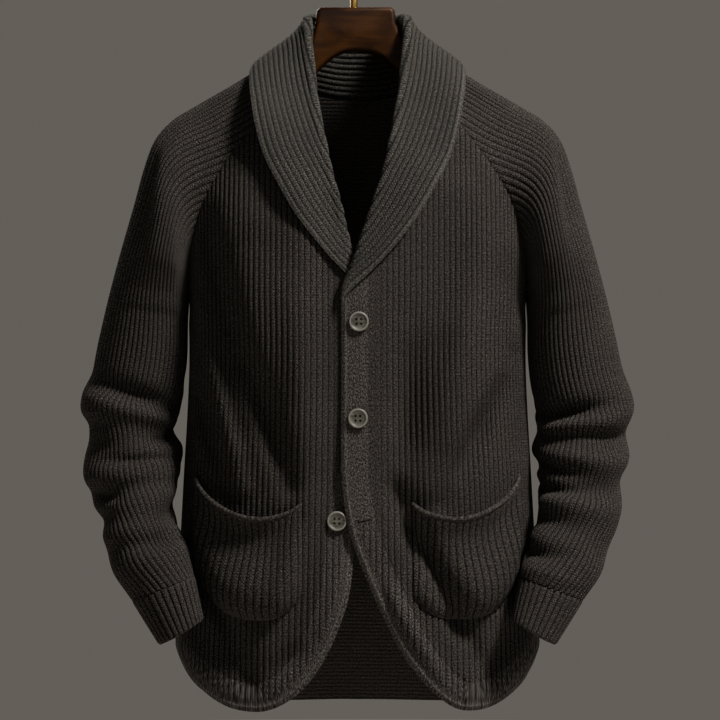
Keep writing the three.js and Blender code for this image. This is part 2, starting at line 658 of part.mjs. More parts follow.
function sleeve(side) {
  const rows = CAP_ROWS + ARM_ROWS;
  const alongAt = (s) => {
    const place = s * rows;
    if (place < CAP_ROWS) return (place / CAP_ROWS) * UNDERARM;
    return lerp(UNDERARM, SLEEVE_END, (place - CAP_ROWS) / ARM_ROWS);
  };
  const halfAt = (s) => sleeveAt(alongAt(s)).ribs * RIB_PITCH;
  return ribbedWall({
    rows,
    at: (s, across) => sleevePoint(alongAt(s), clamp(across / halfAt(s), -1, 1), side),
    limits: (s) => [SEAM - halfAt(s), halfAt(s) - SEAM],
    height: (s, across) => {
      const facesBody = smooth(Math.abs(across) / halfAt(s), 0.7, 0.85) * smooth(alongAt(s), 5.5, 7.5);
      return RIB_HEIGHT * (1 - facesBody * (1 - smooth(alongAt(s), 9.5, 10.5)));
    },
    sign: 1,
    edgeNormal: (s, across) => {
      const [facing, along] = [Math.sign(across), alongAt(s)];
      const isRaglan = Math.abs(across) > halfAt(s) - 2 * SEAM && along < UNDERARM;
      return isRaglan ? bodyNormal(facing, raglanSeam(facing, along)) : null;
    },
  });
}

function bodyNormal(facing, { x, z }) {
  const step = 2;
  const dx = bodyAtX(facing, x + step, z).sub(bodyAtX(facing, x - step, z));
  const dz = bodyAtX(facing, x, z + step).sub(bodyAtX(facing, x, z - step));
  return dz.cross(dx).normalize().multiplyScalar(facing);
}

function cuff() {
  const last = CUFF.at(-1).along;
  const half = CUFF_RIBS_IN_HALF * RIB_PITCH;
  const at = (s, across) => {
    const row = cuffAt(s * last);
    const share = clamp(across / half, -1, 1);
    const under = vector(row.underX, row.underY + (Math.sign(share) * SEAM) / 2, row.underZ);
    return sleeveSection(row, under, under, 1)(share);
  };
  return ribbedWall({
    rows: CUFF_ROWS,
    at,
    limits: () => [SEAM - half, half - SEAM],
    sign: 1,
  });
}

// Where the collar is sewn on: along the back neck, over the top of the sleeve and down the front neck
function neckPoint(along) {
  const row = collarAt(along);
  if (along <= COLLAR_AT_BACK_SEAM) {
    const x = (SLEEVE[0].backX * along) / COLLAR_AT_BACK_SEAM;
    return bodyAtX(1, x, backNeckAt(x).z + 5 * SEAM);
  }
  if (along < COLLAR_AT_FRONT_SEAM) {
    const across = 1 - (2 * (along - COLLAR_AT_BACK_SEAM)) / (COLLAR_AT_FRONT_SEAM - COLLAR_AT_BACK_SEAM);
    const [start, next] = [0, 0.1].map((place) => sleevePoint(place, across, 1));
    return start.add(start.clone().sub(next).setLength(2 * SEAM));
  }
  return bodyAtX(-1, row.neckX, frontNeckAt(row.neckX).z);
}

// Section of the collar's hidden side at a place along it, from the neck seam to the edge: stand, roll and fall
function collarSection(along) {
  const side = along < 0 ? -1 : 1;
  const row = collarAt(Math.abs(along));
  const neck = neckPoint(Math.abs(along));
  const roll = vector(row.rollX + (side < 0 ? row.right : 0), row.rollY, row.rollZ);
  const edge = vector(row.edgeX, row.edgeY, row.edgeZ);
  const out = vector(Math.cos(radians(row.face)), Math.sin(radians(row.face)), 0);
  const up = roll.clone().sub(neck);
  up.addScaledVector(out, -up.dot(out)).normalize();
  const radius = COLLAR_ROLL_RADIUS * row.body;
  const away = (point, upwards, outwards) =>
    point.clone().addScaledVector(up, upwards).addScaledVector(out, outwards);
  const [standTop, fallTop] = [away(roll, -radius, -radius), away(roll, -radius, radius)];
  const length = fallTop.distanceTo(edge);
  const curve = new THREE.CurvePath();
  curve.add(new THREE.LineCurve3(neck, standTop));
  const turn = radius * (4 / 3);
  const [rising, falling] = [away(standTop, turn, 0), away(fallTop, turn, 0)];
  curve.add(new THREE.CubicBezierCurve3(standTop, rising, falling, fallTop));
  const leaving = away(fallTop, -length * FALL_LEAVES.down, length * FALL_LEAVES.out);
  const arriving = away(edge.clone().lerp(fallTop, FALL_ARRIVES.back), 0, length * FALL_ARRIVES.out);
  curve.add(new THREE.CubicBezierCurve3(fallTop, leaving, arriving, edge));
  return { curve, side, body: row.body, length: curve.getLength() };
}

function collar() {
  const last = COLLAR.at(-1).along;
  const sections = new Map();
  const sectionAt = (s) => {
    if (!sections.has(s)) sections.set(s, collarSection(lerp(-last, last, s)));
    return sections.get(s);
  };
  return ribbedWall({
    rows: COLLAR_ROWS,
    at: (s, fromEdge) => {
      const { curve, side, length } = sectionAt(s);
      const point = curve.getPointAt(clamp(1 - fromEdge / length, 0, 1));
      return side < 0 ? underlap(point, true).multiply(vector(-1, 1, 1)) : point;
    },
    limits: (s) => [0, sectionAt(s).length],
    base: (s) => WALL * sectionAt(s).body,
    inside: () => 0,
    height: (s) => RIB_HEIGHT * sectionAt(s).body,
    plainEvery: 1,
    sign: -1,
  });
}

// Patch pocket, standing open at its mouth. across is x towards its own side.
function pocket() {
  const [low, high] = [POCKET[0].x, POCKET.at(-1).x];
  const at = (s, x) => {
    const { mouthZ, footZ } = pocketAt(x);
    const share = (x - low) / (high - low);
    const [middle, mouth] = [Math.PI * clamp(share, 0, 1), (Math.PI / 2) * clamp(s * 1.15, 0, 1)];
    const open = Math.sin(middle) ** 0.8 * Math.sin(mouth) ** 0.7;
    const point = bodyAtX(-1, x, lerp(footZ, mouthZ, s));
    return point.addScaledVector(bodyNormal(-1, point), RIB_HEIGHT + 3 * SEAM + POCKET_FULLNESS * open);
  };
  return ribbedWall({
    rows: POCKET_ROWS,
    at,
    limits: () => [low, high],
    base: (s) => WALL + (s > 0.99 ? POCKET_BEAD : 0),
    inside: () => 0,
    sign: -1,
  });
}

// A round body from its half section, turned about +Z
function turnedFrom(profile, sides) {
  const points = profile.map(({ radius, height }) => new THREE.Vector2(radius, height));
  return new THREE.LatheGeometry(points, sides).rotateX(Math.PI / 2);
}

// A round button with a raised rim and four holes, lying on the XY plane
function button() {
  const disc = solidOf(turnedFrom(BUTTON_PROFILE, BUTTON_SIDES));
  const radius = BUTTON_HOLE_RADIUS;
  const hole = new THREE.CylinderGeometry(radius, radius, 3 * BUTTON_THICKNESS, BUTTON_HOLE_SIDES);
  hole.rotateX(Math.PI / 2);
  const away = [BUTTON_HOLE_OFFSET, -BUTTON_HOLE_OFFSET];
  const holes = away.flatMap((x) => away.map((y) => hole.clone().translate(x, y, 0)));
  return geometryOf(holes.reduce((body, cutter) => body.subtract(solidOf(cutter)), disc));
}

// Sets a piece made on the XY plane onto a point, with its +Z along a direction
function setOn(geometry, point, direction) {
  const turn = new THREE.Quaternion().setFromUnitVectors(vector(0, 0, 1), direction.clone().normalize());
  return geometry.applyQuaternion(turn).translate(point.x, point.y, point.z);
}

function placedButton({ x, z, onLeft }) {
  const own = onLeft ? x : -x;
  const point = underlap(bodyAtX(-1, own, z), !onLeft);
  const normal = bodyNormal(-1, vector(own, 0, z));
  point.addScaledVector(normal, onLeft ? BUTTON_LIFT : LOOSE_BUTTON_LIFT);
  return mirrored(setOn(button(), point, normal), onLeft ? 1 : -1);
}

function buttonhole({ x, z }) {
  const slot = new THREE.BoxGeometry(BUTTONHOLE_LENGTH, BUTTONHOLE_HEIGHT, 6 * WALL);
  return setOn(slot, bodyAtX(-1, x, z), bodyNormal(-1, vector(x, 0, z)));
}

function solidOf(geometry) {
  const plain = new THREE.BufferGeometry();
  plain.setAttribute("position", geometry.getAttribute("position"));
  plain.setIndex(geometry.index);
  const merged = mergeVertices(plain, 1e-4);
  const mesh = new wasm.Mesh({
    numProp: 3,
    vertProperties: new Float32Array(merged.getAttribute("position").array),
    triVerts: new Uint32Array(merged.index.array),
  });
  return new wasm.Manifold(mesh);
}

function geometryOf(solid) {
  const mesh = solid.getMesh();
  const geometry = new THREE.BufferGeometry();
  geometry.setAttribute("position", new THREE.Float32BufferAttribute(mesh.vertProperties, 3));
  geometry.setIndex(Array.from(mesh.triVerts));
  return geometry;
}

// The hanger: a shaped board whose arms follow the shoulders just inside them
function hangerBoard() {
  const line = (rows, middle, side) => rows.map(({ x, z }) => new THREE.Vector2(middle + side * x, z));
  const block = (side) => line(HANGER_BLOCK, HANGER_BLOCK_X, side);
  const arm = (side) => line(HANGER_ARM, GARMENT_X, side);
  const under = (side) => line(HANGER_FOOT, GARMENT_X, side);
  const half = (side) => [...block(side), ...arm(side), ...under(side).reverse()];
  const outline = [...half(1), ...half(-1).reverse()];
  const shape = new THREE.Shape(outline.reverse());
  const depth = HANGER_DEPTH - 2 * HANGER_BEVEL;
  const board = new THREE.ExtrudeGeometry(shape, {
    depth,
    bevelEnabled: true,
    bevelThickness: HANGER_BEVEL,
    bevelSize: HANGER_BEVEL,
    bevelOffset: -HANGER_BEVEL,
    bevelSegments: 2,
  });
  return board.rotateX(Math.PI / 2).translate(0, depth / 2, 0);
}

// The hook: a bent brass rod with a ferrule where it enters the board
function hangerHook() {
  const radius = HOOK_INNER_RADIUS + HOOK_WIRE_RADIUS;
  const path = [...HOOK_STEM];
  for (let degrees = HOOK_BEND.from; degrees <= HOOK_BEND.to; degrees += HOOK_BEND.step) {
    const turn = radians(degrees);
    path.push([radius * Math.cos(turn), radius * Math.sin(turn) - HOOK_INNER_RADIUS]);
  }
  const rings = [];
  path.forEach(([x, z], i) => {
    const [a, b] = [path[Math.max(i - 1, 0)], path[Math.min(i + 1, path.length - 1)]];
    const tangent = vector(b[0] - a[0], 0, b[1] - a[1]).normalize();
    const side = vector(-tangent.z, 0, tangent.x);
    const ring = [];
    for (let k = 0; k < HOOK_SIDES; k++) {
      const turn = (k / HOOK_SIDES) * 2 * Math.PI;
      const reach = side.clone().multiplyScalar(Math.cos(turn) * HOOK_WIRE_RADIUS);
      ring.push(vector(x, 0, z).add(reach).add(vector(0, Math.sin(turn) * HOOK_WIRE_RADIUS, 0)));
    }
    rings.push(ring);
  });
  const ferrule = turnedFrom(FERRULE_PROFILE, FERRULE_SIDES).translate(0, 0, HANGER_TOP_Z + SEAM);
  return geometryOf(solidOf(rodOf(rings)).add(solidOf(ferrule)));
}

// Rings joined into a rod with closed ends
function rodOf(rings) {
  const points = rings.flat();
  const count = rings[0].length;
  const faces = [];
  for (let i = 0; i + 1 < rings.length; i++)
    for (let k = 0; k < count; k++) {
      const [a, b] = [i * count + k, i * count + ((k + 1) % count)];
      faces.push([a, b, b + count], [a, b + count, a + count]);
    }
  for (let k = 1; k + 1 < count; k++) {
    const last = points.length - count;
    faces.push([0, k + 1, k], [last, last + k, last + k + 1]);
  }
  return closedGeometry(points, faces);
}

// The same piece on the other side
function mirrored(geometry, side) {
  if (side > 0) return geometry;
  const turned = geometry.index ? geometry : mergeVertices(geometry);
  turned.scale(-1, 1, 1);
  const index = turned.index.array;
  for (let i = 0; i < index.length; i += 3) [index[i + 1], index[i + 2]] = [index[i + 2], index[i + 1]];
  return turned;
}

const wool = (color) => new THREE.MeshStandardMaterial({ color, roughness: 0.95, metalness: 0 });
const WOOL = wool(0x2b2723);
const COLLAR_WOOL = wool(0x322e2a);
const HORN = new THREE.MeshStandardMaterial({ color: 0x57554c, roughness: 0.45, metalness: 0 });
const WOOD = new THREE.MeshStandardMaterial({ color: 0x2f1609, roughness: 0.25, metalness: 0 });
const BRASS = new THREE.MeshStandardMaterial({ color: 0xb08a4a, roughness: 0.3, metalness: 0.9 });

function add(group, name, geometry, material) {
  const smoothShaded = mergeVertices(geometry.index ? geometry : mergeVertices(geometry), 1e-4);
  smoothShaded.computeVertexNormals();
  const mesh = new THREE.Mesh(smoothShaded, material);
  mesh.name = name;
  group.add(mesh);
}

function cardigan() {
  const group = new THREE.Group();
  const garment = (name, geometry, material = WOOL) =>
    add(group, name, geometry.translate(GARMENT_X, 0, 0), material);
  const [left, right] = [frontPattern(LEFT_EDGE), frontPattern(RIGHT_EDGE)];
  garment("front_left", frontPanel(left, false));
  garment("front_right", mirrored(frontPanel(right, true), -1));
  garment("back", backPanel());
  const holes = BUTTONHOLES.map((hole) => solidOf(buttonhole(hole)));
  const bandLeft = holes.reduce((body, hole) => body.subtract(hole), solidOf(frontBand(left, false)));
  garment("band_left", geometryOf(bandLeft));
  garment("band_right", mirrored(frontBand(right, true), -1));
  garment("sleeve_left", sleeve(1));
  garment("sleeve_right", mirrored(sleeve(-1), -1));
  garment("cuff_left", cuff());
  garment("cuff_right", mirrored(cuff(), -1));
  garment("collar", collar(), COLLAR_WOOL);
  garment("pocket_left", pocket());
  garment("pocket_right", mirrored(pocket(), -1));
  for (const row of BUTTONS) garment(row.name, placedButton(row), HORN);
  add(group, "hanger_board", hangerBoard(), WOOD);
  add(group, "hanger_hook", hangerHook(), BRASS);
  return group;
}

export default cardigan();
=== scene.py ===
"""Shawl collar cardigan in heavy ribbed wool, filled out on a dark wooden hanger.

Lengths are worked out in millimetres, in the row's frame, and set into the meshes in metres.
"""

import logging
import math
from collections.abc import Callable, Iterable, Sequence
from dataclasses import dataclass, field
from enum import Enum

import bmesh
import bpy
import numpy as np
from mathutils import Matrix, Vector


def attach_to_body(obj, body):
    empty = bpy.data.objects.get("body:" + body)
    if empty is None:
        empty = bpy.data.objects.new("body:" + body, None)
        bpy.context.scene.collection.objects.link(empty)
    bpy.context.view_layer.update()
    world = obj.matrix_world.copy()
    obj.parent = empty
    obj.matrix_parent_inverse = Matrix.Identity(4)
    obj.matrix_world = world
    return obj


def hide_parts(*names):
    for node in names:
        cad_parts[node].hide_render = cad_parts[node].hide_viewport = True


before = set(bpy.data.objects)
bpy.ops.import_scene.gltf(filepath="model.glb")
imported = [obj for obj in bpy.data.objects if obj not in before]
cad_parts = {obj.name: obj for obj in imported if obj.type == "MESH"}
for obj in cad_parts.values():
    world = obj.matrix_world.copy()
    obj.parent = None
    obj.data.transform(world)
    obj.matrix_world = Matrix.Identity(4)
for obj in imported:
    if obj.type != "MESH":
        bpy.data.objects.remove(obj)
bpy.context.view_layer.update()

log = logging.getLogger("cardigan")
Array = np.ndarray
MM = 0.001
GARMENT_X = 4.0  # the garment's middle line
WALL = 2.4
RIB_HEIGHT = 1.6
RIB_PITCH = 6.4
RIB_FULLNESS = 0.6  # power that rounds the crown of a rib
SEAM = 0.3  # clearance between two pieces that are sewn together
UNDERARM_Z = -418.0
UNDERARM_HALF = 190.0
SQUARENESS = 2.25  # power of the body's boxy oval
BAND_WIDTH = 30.0
LOOK_ASIDE = 2.0  # how far to each side the body's slope is read
RAGLAN_X = (74, 189)  # x between which the front's raglan seam runs
UNDERLAP_FADE = (22, 64)  # x in which the right front comes out from under the left one
NECK_CLEARANCE = 0.4
UNDERARM_SIDE = (172, 184)  # x in which the ribs sink where the body faces a sleeve
UNDERARM_RISE = (-450, -425)  # heights in which they do
NO_EDGE = 1000.0  # stands for the distance from an edge where there is none to dress
CREASE = 1.45  # turn in radians above which an edge of the knit stays sharp


class Side(Enum):
    """The wearer's side that a piece is made for."""

    LEFT = 1
    RIGHT = -1


class Table:
    """Rows of named columns with a smooth curve through them."""

    def __init__(self, columns: str, *rows: Sequence[float]) -> None:
        """Keeps the rows.

        Args:
            columns: names of the columns, the key first, parted by spaces.
            rows: one row of numbers each, in the order of the columns.
        """
        self.names = columns.split()
        self.rows = np.array(rows, float)

    def at(self, key: Array | float) -> dict[str, Array]:
        """Reads every column at values of the key.

        Args:
            key: where to read, held inside the table's own range.

        Returns:
            The columns by name, each shaped as the key.
        """
        known = self.rows[:, 0]
        place = np.clip(np.asarray(key, float), known[0], known[-1])
        i = np.clip(np.searchsorted(known, place, side="left") - 1, 0, len(known) - 2)
        before, after = np.maximum(i - 1, 0), np.minimum(i + 2, len(known) - 1)
        span = known[i + 1] - known[i]
        t = (place - known[i]) / span
        found = {self.names[0]: place}
        for n, name in enumerate(self.names[1:], 1):
            c = self.rows[:, n]
            leaving = (c[i + 1] - c[before]) / (known[i + 1] - known[before]) * span
            arriving = (c[after] - c[i]) / (known[after] - known[i]) * span
            found[name] = (
                (2 * t**3 - 3 * t**2 + 1) * c[i]
                + (t**3 - 2 * t**2 + t) * leaving
                + (3 * t**2 - 2 * t**3) * c[i + 1]
                + (t**3 - t**2) * arriving
            )
        return found


BODY = Table(
    "z width front back",
    (-900, 205, 127, 118),
    (-800, 204, 126, 118),
    (-720, 200, 124, 114),
    (-610, 194, 120, 110),
    (-540, 190, 119, 111),
    (-480, 188, 121, 114),
    (-418, 190, 122, 118),
    (-370, 195, 120, 118),
    (-330, 196, 115, 115),
    (-281, 184, 104, 107),
    (-226, 152, 82, 93),
    (-178, 126, 54, 76),
    (-140, 112, 34, 58),
)
# top line, front and back seams, reach of the section's handles, how far it leaves the seam ahead,
# and pairs of ribs from the top line to the seam
SLEEVE = Table(
    "along topX topY topZ frontX frontZ backX backZ underY reach forward ribs",
    (0, 80, 0, -143, 74, -179, 67, -159, 0, 24, 0.1, 5.5),
    (1, 111, 0, -159, 92, -199, 90, -190, 0, 34, 0.12, 6),
    (2, 146, 0, -180, 113, -226, 113, -221, 0, 41, 0.16, 6.7),
    (3, 181, 0, -200, 135, -254, 136, -253, 0, 43, 0.22, 7.6),
    (4, 208, 0, -217, 154, -281, 155, -283, 0, 51, 0.32, 8.7),
    (5, 227, 0, -239, 169, -309, 170, -313, 0, 60, 0.46, 10),
    (6, 239, 0, -270, 180, -338, 181, -343, 0, 69, 0.62, 11.6),
    (7, 250, 0, -310, 186.5, -367, 187, -371, 0, 78, 0.8, 13),
    (8, 263, 0, -355, 189.2, -394, 189.2, -396, 0, 84, 0.94, 14),
    (9, 276, 1, -401, 191.5, -418, 191.5, -418, 0, 86, 1.1, 14.6),
    (10, 288, 2, -450, 195, -462, 195, -462, 2, 84, 1.22, 14.2),
    (11, 297, 2, -494, 197, -502, 197, -502, 3, 82, 1.12, 13.9),
    (12, 307, 0, -536, 201, -540, 201, -540, 1, 80, 1, 13.6),
    (13, 306, -6, -574, 199, -570, 199, -570, -5, 78, 1, 13.3),
    (14, 304, -14, -612, 202, -598, 202, -598, -14, 77, 1, 12.8),
    (15, 297, -26, -648, 203, -626, 203, -626, -28, 74, 1, 12),
    (16, 284, -42, -684, 199, -656, 199, -656, -48, 70, 1, 11),
    (17, 269.5, -58, -719, 189, -690, 189, -690, -70, 64, 1, 9.8),
    (18, 248, -76, -748, 180, -722, 180, -722, -88, 53, 1, 8.6),
)
UNDERARM = 9
SLEEVE_END = 18
CUFF = Table(
    "along topX topY topZ underX underY underZ reach",
    (0, 248, -76, -748, 180, -88, -722, 52.6),
    (1, 231, -88, -773, 174, -98, -747, 47),
    (2, 215, -99, -796, 169, -106, -769, 44),
)
# place, degrees round to the front, length, width, height, slant and side: 0 is on both sleeves
SLEEVE_FOLDS: tuple[tuple[float, ...], ...] = (
    (12.1, 40, 0.55, 75, 5, 0.006, 0),
    (12.9, 150, 0.42, 60, -13, 0, 0),
    (13.1, 40, 0.5, 60, -8, 0.007, 0),
    (13.9, 120, 0.5, 70, 7, 0.004, 0),
    (14.5, 70, 0.45, 70, -7, -0.004, 0),
    (14.2, 0, 0.5, 45, -9, 0, 1),
    (14.2, 0, 0.5, 40, 2, 0, -1),
    (15.2, 110, 0.5, 60, 6, 0.004, 0),
    (15.9, 140, 0.45, 50, -7, 0, 0),
    (16.4, 30, 0.5, 45, -4, 0, 0),
    (16.9, 90, 0.5, 60, 4, 0, 0),
    (12.8, -110, 0.5, 60, -6, 0.004, 0),
    (14.0, -80, 0.5, 60, 5, -0.004, 0),
    (15.3, -120, 0.5, 55, -6, 0.003, 0),
    (6.6, 62, 1.6, 20, -7, 0, 0),
    (15.45, 22, 0.34, 44, -11, -0.004, -1),
    (15.6, 165, 0.36, 36, -9, 0, -1),
    (16.5, 122, 0.28, 46, -10, 0.003, -1),
    (16.0, 72, 0.3, 50, 6, 0, -1),
    (14.95, 128, 0.28, 58, -12, 0.004, 1),
    (15.5, 108, 0.34, 58, 7, 0.003, 1),
    (17.05, 140, 0.26, 52, -10, 0.003, 1),
    (17.7, 120, 0.22, 58, 5, 0.002, 1),
    (15.0, -60, 0.3, 48, -8, 0.005, 1),
    (16.3, -130, 0.3, 52, -7, -0.003, 0),
    (11.72, 100, 0.26, 58, -12, 0.0055, -1),
    (12.2, 92, 0.22, 66, 6, 0.006, -1),
    (12.66, 36, 0.24, 34, -8, 0, -1),
    (13.0, 146, 0.2, 34, -7, 0, -1),
    (13.8, 104, 0.18, 46, -8, 0.002, -1),
    (14.25, 95, 0.22, 60, 5, 0.003, -1),
    (14.85, 42, 0.24, 36, -10, 0.003, -1),
    (12.9, 150, 0.42, 60, 7, 0, 1),
    (12.15, 112, 0.26, 55, -14, 0.003, 1),
    (12.62, 112, 0.22, 48, 7, 0.004, 1),
    (12.92, 62, 0.17, 38, -7, 0, 1),
    (14.15, 150, 0.28, 40, -11, 0, 1),
    (13.7, 80, 0.3, 50, 5, 0, 1),
)
# from x and z, to x and z, half width and height of each soft fold
FRONT_FOLDS: tuple[tuple[float, ...], ...] = (
    (172, -330, 132, -560, 20, -9),
    (140, -330, 96, -600, 24, 7),
    (176, -480, 182, -620, 20, -6),
    (186, -770, 110, -845, 16, -5),
    (196, -800, 140, -862, 16, 4),
    (62, -660, 86, -800, 22, -5),
)
# finer drapes of each front, in the same columns
DRAPES: dict[Side, tuple[tuple[float, ...], ...]] = {
    Side.RIGHT: (
        (176, -300, 128, -490, 13, -17),
        (112, -330, 78, -560, 30, 9),
        (132, -450, 72, -625, 13, -19),
        (188, -490, 144, -634, 9, -12),
        (178, -430, 126, -624, 12, 13),
        (66, -350, 56, -640, 24, 13),
        (54, -640, 98, -800, 14, 10),
        (184, -690, 118, -835, 12, -15),
        (44, -790, 110, -838, 12, -6),
    ),
    Side.LEFT: (
        (100, -270, 78, -470, 42, -14),
        (158, -370, 76, -615, 30, 15),
        (186, -440, 80, -625, 14, 11),
        (172, -480, 94, -642, 13, -20),
        (58, -440, 46, -630, 20, -13),
        (38, -630, 136, -820, 14, -22),
        (12, -700, 102, -848, 10, 8),
        (150, -770, 120, -850, 10, 7),
    ),
}
BACK_FOLDS: tuple[tuple[float, ...], ...] = (
    (20, -300, 34, -640, 30, -6),
    (-70, -330, -52, -700, 26, -6),
    (110, -420, 90, -760, 30, -7),
    (-130, -420, -112, -720, 26, -6),
    (-20, -520, -16, -860, 26, 6),
    (150, -470, 160, -800, 24, 6),
)
FRONT_NECK = Table(
    "x z",
    (-33, -423.5), (-18, -408), (-3, -392.5), (12, -377), (21, -360),
    (36, -319), (49.5, -271), (58, -240), (66, -208), (74, -179),
)
BACK_NECK = Table("x z", (0, -184), (22, -183.4), (45, -178.5), (56, -170), (67, -159))
HEM_BACK = Table("round z", (0, -884), (40, -882), (60, -868), (78, -832), (90, -803))
UNDERLAP = Table(
    "z depth",
    (-800, 0), (-740, 1), (-690, 7), (-640, 9), (-549, 5),
    (-444, 5), (-392, 11), (-340, 12), (-300, 4), (-270, 0),
)
LEFT_EDGE = (
    (-18, -408), (-18, -440), (-18, -520), (-18, -600), (-15, -640), (-7, -680), (5, -712), (22, -752),
    (46, -800), (74, -838), (102, -862), (126, -868), (154, -862), (182, -843), (197, -822), (206, -803),
)
RIGHT_EDGE = (
    (-21, -408), (-21, -440), (-21, -500), (-20, -560), (-10, -612), (0, -655), (4, -700), (10, -745),
    (24, -786), (44, -824), (68, -851), (98, -867), (128, -868), (154, -860), (180, -842), (197, -822),
    (206, -803),
)
COLLAR = Table(
    "along neckX rollX rollY rollZ edgeX edgeY edgeZ face body right",
    (0, 0, 0, 60, -97, 0, 108, -188, 90, 1, 0),
    (1, 22, 20, 57.5, -97, 38, 104.5, -187, 75, 1, 0),
    (2, 45, 36, 48, -96, 73, 91, -183, 57, 1, 0),
    (3, 67, 46, 36, -95, 97, 72, -177, 40, 1, 0),
    (4, 76, 54, 14, -96.5, 115, 34, -164, 14, 1, 0),
    (5, 81, 56, -12, -105, 119, -8, -159, -12, 1, 0),
    (6, 79, 54, -34, -136, 119, -46, -177, -32, 1, 0),
    (7, 74, 50, -53, -172, 117, -72, -199, -46, 1, 0),
    (8, 65, 45, -71, -208, 112, -87, -228, -56, 1, 0),
    (9, 56, 38, -89, -243, 102, -97, -262, -66, 1, 0),
    (10, 47, 31, -101, -277, 86, -112, -294, -72, 1, 0),
    (11, 36, 18.5, -110, -315, 67, -120, -327, -77, 0.95, 2),
    (12, 21, 5, -117, -353, 42, -124.5, -360, -82, 0.85, 6),
    (13, 6, -6, -120.5, -384, 15, -125, -389, -86, 0.7, 8),
    (14, -12, -15.5, -122, -404.5, -11, -125, -414, -88, 0.5, 1),
    (15, -17.5, -18, -122.6, -420, -15.5, -124.6, -428, -88, 0.4, 0),
)
COLLAR_BACK_SEAM = 3
COLLAR_FRONT_SEAM = 7
COLLAR_END = 15
ROLL_RADIUS = 2.6
COLLAR_BEAD = 3.4  # how far from its edge the collar's bead lies
BAND_BEAD = 5.2
POCKET = Table(
    "x mouthZ footZ",
    (60, -640, -742), (74, -649, -758), (96, -656, -768), (122, -653, -768),
    (148, -640, -760), (167, -624, -738), (177, -612, -716),
)
POCKET_FULLNESS = 17.0
POCKET_FAN = 16.0  # how far its ribs spread out from mouth to foot
# a full pocket sags: it stands out low down, falls in below its mouth and rolls out again there
POCKET_SAG = Table(
    "up out",
    (0, 0), (0.04, 0.24), (0.1, 0.58), (0.18, 0.88), (0.3, 1.04),
    (0.45, 0.86), (0.66, 0.42), (0.82, 0.38), (0.94, 0.76), (1, 1),
)


def smooth(value: Array | float, low: float, high: float) -> Array:
    """Rises softly from 0 at low to 1 at high.

    Args:
        value: where to read it.
        low: end of the zeros.
        high: start of the ones.

    Returns:
        The share, from 0 to 1.
    """
    t = np.clip((np.asarray(value, float) - low) / (high - low), 0, 1)
    return t * t * (3 - 2 * t)


def mix(a: Array | float, b: Array | float, t: Array | float) -> Array:
    """Goes from a to b as t goes from 0 to 1."""
    return a + (b - a) * t


def stack(x: Array | float, y: Array | float, z: Array | float) -> Array:
    """Points from their three coordinates, along a last axis."""
    return np.stack(np.broadcast_arrays(x, y, z), axis=-1).astype(float)


def unit(v: Array) -> Array:
    """Vectors at length 1."""
    return v / np.maximum(np.linalg.norm(v, axis=-1, keepdims=True), 1e-9)


def section_xy(angle: Array, width: Array | float, depth: Array | float) -> tuple[Array, Array]:
    """Half of a boxy oval.

    Args:
        angle: from 0 at the middle to a quarter turn at the side.
        width: half width.
        depth: depth in the middle.

    Returns:
        x and depth at each angle.
    """
    sine = np.sin(angle)
    return width * sine, depth * np.maximum(1 - np.abs(sine) ** SQUARENESS, 0) ** (1 / SQUARENESS)


QUARTER_ANGLES = np.linspace(0, math.pi / 2, 91)
_at_underarm = BODY.at(UNDERARM_Z)
_quarter = np.stack(section_xy(QUARTER_ANGLES, _at_underarm["width"], _at_underarm["front"]))
QUARTER_LENGTHS = np.concatenate([[0], np.cumsum(np.hypot(*np.diff(_quarter)))])
QUARTER = float(QUARTER_LENGTHS[-1])


def angle_at(mm: Array) -> Array:
    """Angle round the body at a distance from its middle line."""
    return np.sign(mm) * np.interp(np.abs(mm), QUARTER_LENGTHS, QUARTER_ANGLES)


def mm_at(angle: Array) -> Array:
    """Distance round the body from its middle line at an angle."""
    return np.sign(angle) * np.interp(np.abs(angle), QUARTER_ANGLES, QUARTER_LENGTHS)


def spread_at(z: Array) -> Array:
    """Half width that turns an angle into x: the body's own, and straight up above the underarm."""
    return np.where(z < UNDERARM_Z, BODY.at(z)["width"], UNDERARM_HALF)


def fold_height(folds: Iterable[Sequence[float]], x: Array, z: Array) -> Array:
    """Height of all the soft folds of a panel.

    Args:
        folds: rows of a fold table.
        x: across the body.
        z: up the body.

    Returns:
        How far the cloth stands out of its plain form.
    """
    blunt = 0.12
    total = np.zeros(np.broadcast(x, z).shape)
    for x0, z0, x1, z1, wide, height in folds:
        dx, dz = x1 - x0, z1 - z0
        t = np.clip(((x - x0) * dx + (z - z0) * dz) / (dx * dx + dz * dz), 0, 1)
        off = np.hypot(x - x0 - t * dx, z - z0 - t * dz)
        total = total + height * ridge(off, wide) * np.sin(math.pi * np.clip(t, blunt, 1 - blunt))
    return total


def body_at_x(facing: int, x: Array, z: Array) -> Array:
    """Points of the body's surface.

    Args:
        facing: -1 in front and 1 behind.
        x: across the body.
        z: up the body.

    Returns:
        The points, along a last axis.
    """
    row = BODY.at(z)
    share = np.clip(np.abs(x) / row["width"], 0, 1)
    deep = np.maximum(1 - share**SQUARENESS, 0) ** (1 / SQUARENESS)
    depth = row["front"] if facing < 0 else row["back"]
    folds = fold_height(FRONT_FOLDS if facing < 0 else BACK_FOLDS, x, z) * smooth(deep, 0.02, 0.45)
    return stack(x, facing * (depth * deep + folds), z)


def body_at_mm(facing: int, mm: Array, z: Array) -> Array:
    """Points of the body's surface by the distance round it."""
    return body_at_x(facing, spread_at(z) * np.sin(angle_at(mm)), z)


